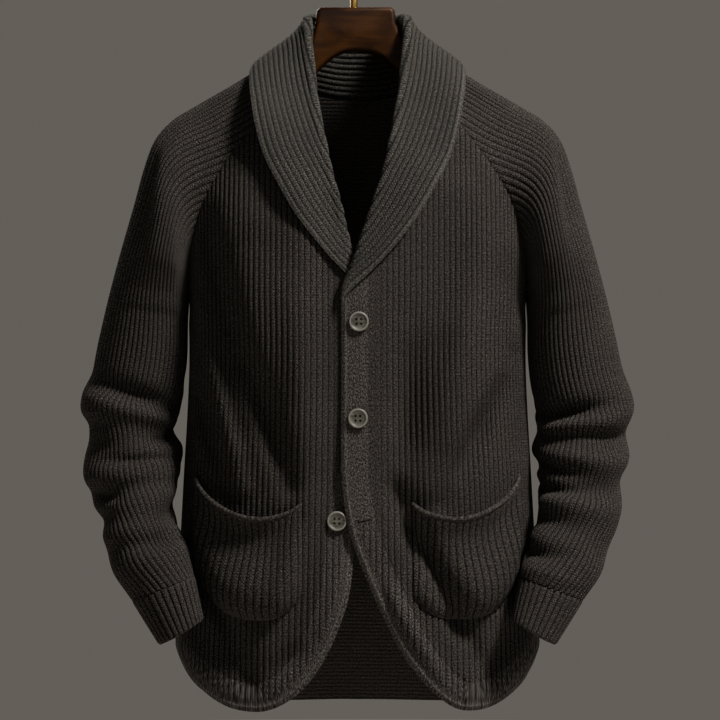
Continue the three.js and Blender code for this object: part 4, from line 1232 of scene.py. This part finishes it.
        def surface(at: Array, across: Array) -> Array:
            """The band by share and millimetres."""
            return self.laid(self.pattern.band(at, across / BAND_WIDTH))

        high = np.full(len(shares), BAND_WIDTH)
        wall = Wall(surface, 1, np.sort(shares), 0 * high, high, to_a_rib=6, base=lift, height=ribs,
                    hole=opened if places else None, edge_at=lambda at, across: across, side_fade=0.01,
                    knit_at=lambda at, across: self.pattern.flat(at, across / BAND_WIDTH)[..., 0])
        hang(self.name("band"), wall, self.side, finish)

    def pocket(self, finish: bpy.types.Material) -> None:
        """Makes the patch pocket, which stands open at its rolled mouth."""
        low, high = POCKET.rows[0, 0], POCKET.rows[-1, 0]

        def surface(s: Array, x: Array) -> Array:
            """Its hidden side, from its foot to its mouth."""
            row = POCKET.at(x)
            share = np.clip((x - low) / (high - low), 0, 1)
            rise = POCKET_SAG.at(s)["out"]
            opening = np.sin(math.pi * share) ** 0.8 * rise
            z = mix(row["footZ"], row["mouthZ"], s)
            clear = RIB_HEIGHT + 3 * SEAM + POCKET_FULLNESS * opening
            return self.laid(body_at_x(-1, x, z)) + body_normal(-1, x, z) * clear[..., None]

        def base(s: Array, x: Array) -> Array:
            """Thickness of the knit, with the roll of the mouth."""
            rolled, place, width = self.mouth
            bead = rolled * ridge(s - place, width) - 0.7 * smooth(s, place + 0.003, 1)
            full = smooth(s, 0, 0.12) * smooth(np.minimum(x - low, high - x), -2, 7)
            return WALL * (0.3 + 0.7 * full) + bead

        def height(s: Array, x: Array) -> Array:
            """Ribs end below the mouth and at the foot."""
            return RIB_HEIGHT * (1 - smooth(s, 0.93, 0.97)) * smooth(s, 0, 0.04)

        shares = np.concatenate([np.linspace(0, 0.94, 24), np.linspace(0.95, 1, 9)])
        rows = np.ones(len(shares))
        wall = Wall(surface, -1, shares, low * rows, high * rows, base=base, inside=0, height=height,
                    knit_at=lambda s, x: x - POCKET_FAN * (1 - s) * (x - low) / (high - low), upright=True)
        hang(self.name("pocket"), wall, self.side, finish)


@dataclass
class Back:
    """The back, in one piece from side seam to side seam.

    Attributes:
        rows: rows of points.
        hem: share of its length that its rolled hem takes.
    """

    rows: int = 140
    hem: float = 0.012

    def surface(self, s: Array, mm: Array) -> Array:
        """The back from its hem to its top."""
        high = QUARTER - SEAM / 2
        place = np.clip(mm, -high, high)
        hem = HEM_BACK.at(np.abs(np.degrees(angle_at(place))))["z"]
        return body_at_mm(1, place, mix(hem, panel_top(1, place), s))

    def make(self, finish: bpy.types.Material) -> None:
        """Makes it, with a rolled hem."""
        high = np.full(self.rows, QUARTER - SEAM / 2)

        def height(s: Array, mm: Array) -> Array:
            """Ribs fade at the hem and under the arms."""
            return RIB_HEIGHT * clear_of_underarm(self.surface(s, mm)) * smooth(s, 0, self.hem)

        def base(s: Array, mm: Array) -> Array:
            """The rolled hem."""
            return ridge(s - self.hem / 3, self.hem / 3)

        at_hem = [0, self.hem / 4, self.hem / 2]
        shares = np.concatenate([at_hem, np.linspace(self.hem, 1, self.rows - len(at_hem))])
        wall = Wall(self.surface, 1, shares, -high, high, base=base, height=height, upright=True)
        hang("back", wall, Side.LEFT, finish)


def bezier(points: Sequence[Array], t: Array) -> Array:
    """Points of a cubic curve from its four control points."""
    a, b, c, d = points
    t = t[..., None]
    return a * (1 - t) ** 3 + 3 * b * t * (1 - t) ** 2 + 3 * c * t**2 * (1 - t) + d * t**3


def sleeve_section(
    row: dict[str, Array], front: Array, back: Array, forward: Array, across: Array
) -> Array:
    """Points of a sleeve's section.

    Args:
        row: the top line and the reach of the curve's handles.
        front: the front seam.
        back: the back seam.
        forward: how far the curve leaves the seam ahead of the straight way up.
        across: from -1 at the front seam over 0 at the top to 1 at the back seam.

    Returns:
        The points.
    """
    facing = np.where(across < 0, -1.0, 1.0)[..., None]
    seam = np.where(facing < 0, front, back)
    top = stack(row["topX"], row["topY"], row["topZ"])
    ahead = facing * np.array([0.0, 1.0, 0.0])
    leave = unit(mix(unit(top - seam), ahead, forward[..., None]))
    reach = row["reach"][..., None]
    return bezier((top, top + ahead * reach, seam + leave * reach, seam), np.abs(across))


@dataclass
class Sleeve:
    """A raglan sleeve with its cuff.

    Attributes:
        side: the wearer's side.
        drift: how far the right sleeve's creases lie from the left one's.
        cuff_ribs: ribs in half of the cuff.
        raglan: share of its length that the raglan seams take.
        eased: places in its table in which its section starts to be evened out, is, still is, and ends to be.
        rows: rows of points of the sleeve.
    """

    side: Side
    drift: float = 0.12
    cuff_ribs: int = 14
    raglan: float = 8 / 23
    eased: tuple[float, float, float, float] = (7.6, 8.8, 9.6, 10.8)
    rows: int = 142

    def fold(self, along: Array, across: Array) -> Array:
        """Height of the sleeve's creases."""
        turn, total = across * -180, np.zeros(np.broadcast(along, across).shape)
        for at, degrees, long, wide, height, slant, side in SLEEVE_FOLDS:
            if side == -self.side.value:
                continue
            place = at + (0 if self.side is Side.LEFT else self.drift * math.sin(degrees))
            apart = np.abs((turn - degrees + 540) % 360 - 180)
            off = (along - place - slant * apart * np.sign(turn - degrees)) / long
            total = total + height * ridge(off, 1) * ridge(apart, wide)
        return total

    def seam(self, facing: int, row: dict[str, Array]) -> Array:
        """The front or back raglan seam, and the underarm seam below it."""
        name = "front" if facing < 0 else "back"
        on_body = body_at_x(facing, row[name + "X"], row[name + "Z"])
        under = stack(row[name + "X"], row["underY"] + facing * SEAM / 2, row[name + "Z"])
        return np.where((row["along"] >= UNDERARM)[..., None], under, on_body)

    def section(self, along: Array, across: Array) -> Array:
        """Points of the sleeve's plain form."""
        row = SLEEVE.at(along)
        return sleeve_section(row, self.seam(-1, row), self.seam(1, row), row["forward"], across)

    def points(self, along: Array, across: Array) -> Array:
        """Points of the sleeve without its ribs, x towards its own side."""
        back, aside, reach = 0.15, 0.02, 0.7
        row, earlier = SLEEVE.at(along), SLEEVE.at(along - back)
        starts, full, falls, ends = self.eased
        eased = smooth(along, starts, full) * (1 - smooth(along, falls, ends))
        eased = eased * smooth(1 - np.abs(across), 0, 0.12)
        parts = []
        for step in (0, -aside, aside):
            place = np.clip(across + step, -1, 1)
            there, above, below = (self.section(along + by, place) for by in (0, -reach, reach))
            parts.append(mix(there, (above + there + below) / 3, eased[..., None]))
        top = stack(row["topX"], row["topY"], row["topZ"])
        before = stack(earlier["topX"], earlier["topY"], earlier["topZ"])
        before = np.where((along < back)[..., None], top + np.array([-4.0, 0, 2]), before)
        out = unit(np.cross(parts[2] - parts[1], top - before))
        low = stack(row["frontX"], row["underY"], row["frontZ"])
        turned = np.sum(out * (parts[0] - (top + low) / 2), axis=-1, keepdims=True) < 0
        out = np.where(turned, -out, out)
        near = np.where(along >= UNDERARM, 1, smooth(1 - np.abs(across), 0, 0.25))
        return parts[0] + out * (self.fold(along, across) * near)[..., None]

    def along(self, s: Array) -> Array:
        """Place in the sleeve's table at a share of its length."""
        below = mix(UNDERARM, SLEEVE_END, (s - self.raglan) / (1 - self.raglan))
        return np.where(s < self.raglan, s / self.raglan * UNDERARM, below)

    def half(self, s: Array) -> Array:
        """Half width at a share of its length."""
        return SLEEVE.at(self.along(s))["ribs"] * 2 * RIB_PITCH

    def make(self, finish: bpy.types.Material) -> None:
        """Makes the sleeve. Its ribs run along it and off at the raglan seams."""

        def surface(s: Array, across: Array) -> Array:
            """The sleeve by share and millimetres."""
            return self.points(self.along(s), np.clip(across / self.half(s), -1, 1))

        def height(s: Array, across: Array) -> Array:
            """Ribs lie flat where they face the body."""
            along = self.along(s)
            faces_body = smooth(np.abs(across) / self.half(s), 0.7, 0.85) * smooth(along, 5.5, 7.5)
            return RIB_HEIGHT * (1 - faces_body * (1 - smooth(along, 9.5, 10.5)))

        def edge_facing(s: Array, across: Array) -> Array:
            """At the raglan seams it faces as the body does."""
            row = SLEEVE.at(self.along(s))
            front = body_normal(-1, row["frontX"], row["frontZ"])
            on_body = np.where((across < 0)[..., None], front, body_normal(1, row["backX"], row["backZ"]))
            ds, da = 0.004, 1.5
            limit = self.half(s) - SEAM / 2
            u, v = np.clip(s, ds, 1 - ds), np.clip(across, -limit + da, limit - da)
            length, width = surface(u + ds, v) - surface(u - ds, v), surface(u, v + da) - surface(u, v - da)
            return np.where((self.along(s) < UNDERARM)[..., None], on_body, unit(np.cross(length, width)))

        shares = np.linspace(0, 1, self.rows)
        half = self.half(shares) - SEAM / 2
        wall = Wall(surface, 1, shares, -half, half, height=height, edge_facing=edge_facing)
        hang(f"sleeve_{self.side.name.lower()}", wall, self.side, finish)

    def cuff(self, finish: bpy.types.Material) -> None:
        """Makes the cuff."""
        half = self.cuff_ribs * RIB_PITCH

        def surface(s: Array, across: Array) -> Array:
            """The cuff by share and millimetres."""
            row = CUFF.at(s * (len(CUFF.rows) - 1))
            share = np.clip(across / half, -1, 1)
            under = stack(row["underX"], row["underY"] + np.sign(share) * SEAM / 2, row["underZ"])
            return sleeve_section(row, under, under, np.ones_like(share), share)

        def height(s: Array, across: Array) -> Array:
            """Its ribs are a little higher than the sleeve's, and lower at its end."""
            return 1.2 * RIB_HEIGHT * (1 - 0.6 * smooth(s, 0.95, 1)) * smooth(s, -0.04, 0.05)

        shares = np.concatenate([np.linspace(0, 0.95, 12), [0.975, 1]])
        limit = np.full(len(shares), half - SEAM)
        wall = Wall(surface, 1, shares, -limit, limit, to_a_rib=8, height=height)
        hang(f"cuff_{self.side.name.lower()}", wall, self.side, finish)


@dataclass
class Collar:
    """The shawl collar: a stand that rolls over and falls to a loose edge.

    Attributes:
        rows: rows from one front end to the other.
        samples: places worked out down each section.
        ends: places in its table between which its ribs run out.
        leave: how far the fall's curve runs down and out from the roll, as shares of its length.
        arrive: how far it runs back up and out from the loose edge.
    """

    rows: int = 260
    samples: int = 90
    ends: tuple[float, float] = (13.2, 14.6)
    leave: tuple[float, float] = (0.3, 0.13)
    arrive: tuple[float, float] = (0.35, 0.12)

    def neck(self, along: Array) -> Array:
        """Where it is sewn on: along the back neck, over the sleeve and down the front neck."""
        row = COLLAR.at(along)
        back_x = SLEEVE.at(0)["backX"] * np.minimum(along, COLLAR_BACK_SEAM) / COLLAR_BACK_SEAM
        behind = body_at_x(1, back_x, BACK_NECK.at(back_x)["z"] + 5 * SEAM)
        across = 1 - 2 * (along - COLLAR_BACK_SEAM) / (COLLAR_FRONT_SEAM - COLLAR_BACK_SEAM)
        across = np.clip(across, -1, 1)
        sleeve = Sleeve(Side.LEFT)
        start, later = sleeve.points(0 * along, across), sleeve.points(0 * along + 0.1, across)
        over = start + unit(start - later) * 2 * SEAM
        before = body_at_x(-1, row["neckX"], FRONT_NECK.at(row["neckX"])["z"])
        on_sleeve = (along < COLLAR_FRONT_SEAM)[:, None]
        return np.where((along <= COLLAR_BACK_SEAM)[:, None], behind, np.where(on_sleeve, over, before))

    def sections(self, shares: Array) -> tuple[Array, Array]:
        """Its hidden side.

        Args:
            shares: from 0 at the right front end to 1 at the left one.

        Returns:
            Points from the loose edge to the neck seam, and how far each lies from the edge.
        """
        signed = mix(-COLLAR_END, COLLAR_END, shares)
        along = np.abs(signed)
        row = COLLAR.at(along)
        neck = self.neck(along)
        roll = stack(row["rollX"] + np.where(signed < 0, row["right"], 0), row["rollY"], row["rollZ"])
        edge = stack(row["edgeX"], row["edgeY"], row["edgeZ"])
        face = np.radians(row["face"])
        out = stack(np.cos(face), np.sin(face), 0)
        up = roll - neck
        up = unit(up - out * np.sum(up * out, axis=-1, keepdims=True))
        radius = (ROLL_RADIUS * row["body"])[:, None]
        stand, fall = roll - up * radius - out * radius, roll - up * radius + out * radius
        turn = radius * (4 / 3)
        length = np.linalg.norm(fall - edge, axis=-1, keepdims=True)
        leaving = fall - up * length * self.leave[0] + out * length * self.leave[1]
        arriving = mix(edge, fall, self.arrive[0]) + out * length * self.arrive[1]
        t = np.linspace(0, 1, self.samples)[None, :]
        curves = [
            bezier([p[:, None] for p in (edge, arriving, leaving, fall)], t),
            bezier([p[:, None] for p in (fall, fall + up * turn, stand + up * turn, stand)], t)[:, 1:],
            mix(stand[:, None], neck[:, None], t[..., None])[:, 1:],
        ]
        points = np.concatenate(curves, axis=1)
        run = np.cumsum(np.linalg.norm(np.diff(points, axis=1), axis=-1), axis=1)
        run = np.concatenate([np.zeros((len(shares), 1)), run], axis=1)
        right = (signed < 0)[:, None, None]
        return np.where(right, underlap(points) * np.array([-1.0, 1, 1]), points), run

    def surface(self, s: Array, from_edge: Array) -> Array:
        """Points of its hidden side by share along it and millimetres from its edge."""
        found = np.empty((*s.shape, 3))
        points, run = self.sections(s[:, 0])
        for i in range(len(points)):
            for axis in range(3):
                found[i, :, axis] = np.interp(from_edge[i], run[i], points[i, :, axis])
        return found

    def make(self, finish: bpy.types.Material) -> None:
        """Makes it, in ribs that run along its loose edge and off over its roll."""
        shares = np.linspace(0, 1, self.rows)
        high = self.sections(shares)[1][:, -1]

        def body(s: Array) -> Array:
            """How thick the knit is."""
            return COLLAR.at(np.abs(mix(-COLLAR_END, COLLAR_END, s)))["body"]

        def base(s: Array, from_edge: Array) -> Array:
            """Thickness of the knit, with the bead of its edge."""
            return (WALL + 0.9 * ridge(from_edge - COLLAR_BEAD, 1)) * body(s)

        def ribs(s: Array, from_edge: Array) -> Array:
            """Ribs fade by the edge and towards the front ends."""
            full = 1 - smooth(np.abs(mix(-COLLAR_END, COLLAR_END, s)), *self.ends)
            return RIB_HEIGHT * body(s) * smooth(from_edge, COLLAR_BEAD, COLLAR_BEAD + 2) * full

        wall = Wall(self.surface, -1, shares, np.zeros(self.rows), high, base=base, inside=0,
                    height=ribs, edge_at=lambda s, from_edge: from_edge)
        hang("collar", wall, Side.LEFT, finish)


def turned(profile: Sequence[tuple[float, float]], segments: int = 48) -> bmesh.types.BMesh:
    """Turns a profile about the Z axis.

    Args:
        profile: radius and height of each ring, from the bottom to the top.
        segments: faces round it.

    Returns:
        The closed body.
    """
    bm = bmesh.new()
    radius, level = profile[0]
    ring = bmesh.ops.create_circle(bm, segments=segments, radius=radius, cap_ends=True)["verts"]
    bmesh.ops.translate(bm, verts=ring, vec=(0, 0, level))
    edges = bm.edges[:]
    for wide, high in profile[1:]:
        made = bmesh.ops.extrude_edge_only(bm, edges=edges)["geom"]
        verts = [g for g in made if isinstance(g, bmesh.types.BMVert)]
        edges = [g for g in made if isinstance(g, bmesh.types.BMEdge)]
        bmesh.ops.scale(bm, verts=verts, vec=(wide / radius, wide / radius, 1))
        bmesh.ops.translate(bm, verts=verts, vec=(0, 0, high - level))
        radius, level = wide, high
    bmesh.ops.edgeloop_fill(bm, edges=edges)
    bmesh.ops.recalc_face_normals(bm, faces=bm.faces[:])
    return bm


def object_of(name: str, bm: bmesh.types.BMesh, sharp: float = 0.9) -> bpy.types.Object:
    """Sets a body made in millimetres into the scene.

    Args:
        name: the piece's name.
        bm: the body, which is freed.
        sharp: turn in radians above which an edge stays sharp.

    Returns:
        The object.
    """
    mesh = bpy.data.meshes.new(name)
    bmesh.ops.scale(bm, verts=bm.verts[:], vec=(MM, MM, MM))
    bm.to_mesh(mesh)
    bm.free()
    mesh.polygons.foreach_set("use_smooth", np.ones(len(mesh.polygons), bool))
    mesh.set_sharp_from_angle(angle=sharp)
    piece = bpy.data.objects.new(name, mesh)
    bpy.context.scene.collection.objects.link(piece)
    return piece


@dataclass
class Button:
    """A four-hole button with a raised rim, and the thread that holds it.

    Attributes:
        name: its node.
        x: its place across the garment.
        z: its place up the garment.
        lift: how far it stands off the body's surface.
        side: the front that it is on or over.
        radius: half its width.
        thickness: its height at the rim.
        hole: radius of a hole.
        hole_offset: how far a hole lies from each middle line.
        floor: how far its middle lies below its rim.
    """

    name: str
    x: float
    z: float
    lift: float = 0.9
    side: Side = Side.LEFT
    radius: float = 11.0
    thickness: float = 3.6
    hole: float = 1.3
    hole_offset: float = 2.6
    floor: float = 1.2

    def frame(self) -> Matrix:
        """Its place and the way it faces."""
        own = np.array(self.x * self.side.value)
        z = np.array(self.z)
        point = body_at_x(-1, own, z)
        if self.side is Side.RIGHT:
            point = underlap(point)
        normal = body_normal(-1, own, z)
        flip = np.array([self.side.value, 1, 1])
        centre = (point + normal * self.lift) * flip + np.array([GARMENT_X, 0, 0])
        turn = Vector(normal * flip).to_track_quat("Z", "Y").to_matrix().to_4x4()
        return Matrix.Translation(Vector(centre * MM)) @ turn

    def posts(self, sides: int, foot: float, top: float, height: float, middle: float) -> bmesh.types.BMesh:
        """A post for each hole.

        Args:
            sides: faces round it.
            foot: radius at its foot.
            top: radius at its top.
            height: its height.
            middle: level of its middle.

        Returns:
            The four posts.
        """
        bm = bmesh.new()
        for x in (-self.hole_offset, self.hole_offset):
            for y in (-self.hole_offset, self.hole_offset):
                bmesh.ops.create_cone(bm, cap_ends=True, segments=sides, radius1=foot, radius2=top,
                                      depth=height, matrix=Matrix.Translation((x, y, middle)))
        return bm

    def make(self, horn: bpy.types.Material, thread: bpy.types.Material) -> None:
        """Makes the button, drills it and threads it."""
        r, t, middle = self.radius, self.thickness, self.thickness - self.floor
        profile = (
            (r - 2.6, 0), (r - 1.2, 0.5), (r - 0.25, 1.3), (r, 2.0), (r - 0.2, t - 0.8), (r - 0.7, t - 0.2),
            (r - 1.3, t), (r - 2.0, t - 0.1), (r - 2.7, t - 0.5), (r - 3.4, t - 0.95), (r - 4.2, middle),
            (r - 7, middle),
        )
        disc = object_of(self.name + "_disc", turned(profile))
        cutter = object_of("drill", self.posts(16, self.hole, self.hole, 3 * t, 0))
        cut = disc.modifiers.new("holes", "BOOLEAN")
        cut.object, cut.operation, cut.solver = cutter, "DIFFERENCE", "EXACT"
        bpy.context.view_layer.update()
        mesh = bpy.data.meshes.new_from_object(disc.evaluated_get(bpy.context.evaluated_depsgraph_get()))
        piece = bpy.data.objects.new("horn_" + self.name, mesh)
        bpy.context.scene.collection.objects.link(piece)
        for spent in (disc, cutter):
            bpy.data.objects.remove(spent)
        mesh.set_sharp_from_angle(angle=0.7)
        points = np.array([v.co for v in mesh.vertices]) / MM
        out = np.hypot(points[:, 0], points[:, 1])
        rim = smooth(out, r - 2.4, r - 1.6) * (1 - smooth(out, r - 0.9, r - 0.4))
        rim = rim * smooth(points[:, 2], t - 1.3, t - 0.5)
        mesh.attributes.new("rim", "FLOAT", "POINT").data.foreach_set("value", rim.astype(np.float32))
        mesh.transform(self.frame())
        attach(piece, horn, self.name)
        height = middle - 1
        tied = object_of("thread_" + self.name, self.posts(12, 0.85, 0.6, height, height / 2 + 0.2))
        tied.data.transform(self.frame())
        attach(tied, thread)


@dataclass
class Hanger:
    """A shaped wooden board with a bent rod.

    Attributes:
        top: height of the board's top.
        depth: its thickness.
        bevel: how much its edges are rounded.
        block_x: middle of the block at its neck.
        rod: half the rod's thickness.
        bend: radius inside the hook's bend.
        stem: middle of the rod between the ferrule and the bend.
        turns: degrees round the bend.
        ferrule: radius and height of each ring of the ferrule.
        block: outline of the block, from its middle.
        arm: top line of an arm.
        under: lower line of an arm.
    """

    top: float = -88.0
    depth: float = 22.0
    bevel: float = 5.0
    block_x: float = 2.0
    rod: float = 2.5
    bend: float = 25.0
    stem: Sequence[tuple[float, float]] = ((0, -78), (0, -70), (4, -61))
    turns: range = range(-66, 190, 18)
    ferrule: Sequence[tuple[float, float]] = ((4.2, 0), (4.2, 12.5), (3.9, 13.6), (2.6, 16))
    block: Sequence[tuple[float, float]] = ((0, -88), (40, -88), (44, -92), (45, -106))
    arm: Sequence[tuple[float, float]] = (
        (52, -124), (63, -141), (74, -149.5), (83, -152.5), (111, -163.6),
        (146, -184.2), (181, -204.6), (197, -216), (201, -221),
    )
    under: Sequence[tuple[float, float]] = (
        (0, -136.5), (14, -138.5), (28, -145), (42, -157), (54, -169), (80, -184), (120, -204), (160, -225),
        (184, -236), (196, -231),
    )

    def outline(self) -> list[tuple[float, float]]:
        """The board's outline, once round."""
        arm = spline(np.array(self.arm, float), np.linspace(0, 1, 40))
        foot = spline(np.array(self.under, float), np.linspace(0, 1, 50))
        halves = []
        for way in (1, -1):
            block = [(self.block_x + way * x, z) for x, z in self.block[1:]]
            halves.append(block + [(GARMENT_X + way * x, z) for x, z in (*arm, *foot[::-1])])
        right, left = halves
        return right + left[-2::-1]

    def board(self, finish: bpy.types.Material) -> None:
        """Makes the board with rounded edges."""
        outline = self.outline()
        bm = bmesh.new()
        bmesh.ops.create_circle(bm, segments=len(outline), radius=1, cap_ends=True)
        for vert, (x, z) in zip(bm.verts, outline):
            vert.co = (x, -self.depth / 2, z)
        made = bmesh.ops.extrude_face_region(bm, geom=bm.faces[:], use_keep_orig=True)["geom"]
        far = [g for g in made if isinstance(g, bmesh.types.BMVert)]
        bmesh.ops.translate(bm, verts=far, vec=(0, self.depth, 0))
        bmesh.ops.recalc_face_normals(bm, faces=bm.faces[:])
        rims = [e for e in bm.edges if abs(e.verts[0].co.y - e.verts[1].co.y) < 1]
        bmesh.ops.bevel(bm, geom=rims, offset=self.bevel, segments=5, profile=0.5, affect="EDGES")
        bmesh.ops.triangulate(bm, faces=[f for f in bm.faces if len(f.verts) > 4])
        attach(object_of("board", bm, 0.5), finish, "hanger_board")

    def hook(self, finish: bpy.types.Material) -> None:
        """Makes the bent rod and the ferrule that it stands in."""
        radius = self.bend + self.rod
        corners = [(0, self.top + SEAM), *self.stem]
        for degrees in self.turns:
            turn = math.radians(degrees)
            corners.append((radius * math.cos(turn), -self.bend + radius * math.sin(turn)))
        line = spline(np.array(corners, float), np.linspace(0, 1, 140))
        curve = bpy.data.curves.new("rod", "CURVE")
        curve.dimensions, curve.bevel_depth, curve.bevel_resolution = "3D", self.rod * MM, 6
        curve.use_fill_caps = True
        path = curve.splines.new("POLY")
        path.points.add(len(line) - 1)
        for point, (x, z) in zip(path.points, line):
            point.co = (x * MM, 0, z * MM, 1)
        bent = bpy.data.objects.new("bent_rod", curve)
        bpy.context.scene.collection.objects.link(bent)
        bpy.context.view_layer.update()
        mesh = bpy.data.meshes.new_from_object(bent.evaluated_get(bpy.context.evaluated_depsgraph_get()))
        bpy.data.objects.remove(bent)
        bm = turned(self.ferrule, 32)
        bmesh.ops.translate(bm, verts=bm.verts[:], vec=(0, 0, self.top + SEAM))
        bmesh.ops.scale(bm, verts=bm.verts[:], vec=(MM, MM, MM))
        bm.from_mesh(mesh)
        bmesh.ops.scale(bm, verts=bm.verts[:], vec=(1 / MM, 1 / MM, 1 / MM))
        attach(object_of("hook_rod", bm, 0.7), finish, "hanger_hook")


@dataclass
class Studio:
    """A pale floor, soft light and the camera.

    Attributes:
        floor_z: height of the floor in metres.
        floor_radius: its radius in metres.
        distance: metres from the camera to the hanger.
        seen_width: metres that the camera sees at that distance.
        centre: x and z that the camera looks at.
        air: colour of the light from all round.
        air_strength: how strong that light is.
    """

    floor_z: float = -1.5
    floor_radius: float = 4.5
    distance: float = 3.0
    seen_width: float = 0.8136
    centre: tuple[float, float] = (0.0068, -0.4858)
    air: Colour = (0.76, 0.7, 0.62)
    air_strength: float = 0.17

    def floor(self) -> None:
        """Lays a pale round floor."""
        bm = bmesh.new()
        bmesh.ops.create_circle(bm, segments=96, radius=self.floor_radius / MM, cap_ends=True)
        bmesh.ops.translate(bm, verts=bm.verts[:], vec=(0, 0, self.floor_z / MM))
        floor = object_of("floor", bm)
        shader = Shader("pale_floor")
        floor.data.materials.append(shader.finish({"Base Color": (0.62, 0.6, 0.57, 1), "Roughness": 0.9}))

    def lamp(self, name: str, place: Triple, size: float, watts: float, colour: Colour) -> None:
        """Hangs a soft square lamp that looks at the garment.

        Args:
            name: its name.
            place: where it is, in metres.
            size: its side.
            watts: its power.
            colour: its colour.
        """
        light = bpy.data.lights.new(name, "AREA")
        light.shape, light.size, light.energy, light.color = "SQUARE", size, watts, colour
        lamp = bpy.data.objects.new(name, light)
        lamp.location = place
        lamp.rotation_euler = (Vector((0, 0, -0.45)) - Vector(place)).to_track_quat("-Z", "Y").to_euler()
        bpy.context.scene.collection.objects.link(lamp)

    def light(self) -> None:
        """Sets a soft key from the upper right and weak fills from the other sides."""
        world = bpy.data.worlds.new("studio")
        world.use_nodes = True
        air = world.node_tree.nodes["Background"]
        air.inputs[0].default_value, air.inputs[1].default_value = (*self.air, 1), self.air_strength
        bpy.context.scene.world = world
        self.lamp("key", (1.45, -1.25, 1.75), 0.5, 150, (1, 0.97, 0.92))
        self.lamp("fill", (-0.3, -3.0, 0.7), 1.0, 4, (0.97, 0.98, 1))
        self.lamp("behind", (-1.0, 2.6, 1.0), 1.6, 62, (1, 0.97, 0.93))

    def camera(self) -> None:
        """Looks level at the front."""
        data = bpy.data.cameras.new("camera")
        data.lens = data.sensor_width * self.distance / self.seen_width
        camera = bpy.data.objects.new("camera", data)
        camera.location = (self.centre[0], -self.distance, self.centre[1])
        camera.rotation_euler = (math.pi / 2, 0, 0)
        bpy.context.scene.collection.objects.link(camera)
        bpy.context.scene.camera = camera


def main() -> None:
    """Builds the garment on its hanger, piece by piece."""
    finishes = Finishes.made()
    hanger = Hanger()
    hanger.board(finishes.wood)
    hanger.hook(finishes.brass)
    Back().make(finishes.ribs)
    fronts = (Front(Side.LEFT, LEFT_EDGE, ((2, -444), (1, -549), (8, -661))), Front(Side.RIGHT, RIGHT_EDGE))
    for front in fronts:
        front.panel(finishes.ribs)
        front.band(finishes.moss)
        front.pocket(finishes.ribs)
    for side in Side:
        Sleeve(side).make(finishes.ribs)
        Sleeve(side).cuff(finishes.ribs)
    Collar().make(finishes.collar)
    for button in (
        Button("button_top", 1.5, -444),
        Button("button_middle", 0.5, -549),
        Button("button_bottom", -22, -661, lift=3.2, side=Side.RIGHT),
    ):
        button.make(finishes.horn, finishes.thread)
    studio = Studio()
    studio.floor()
    studio.light()
    studio.camera()


if __name__ == "__main__":
    logging.basicConfig(level=logging.INFO, format="%(message)s")
    main()
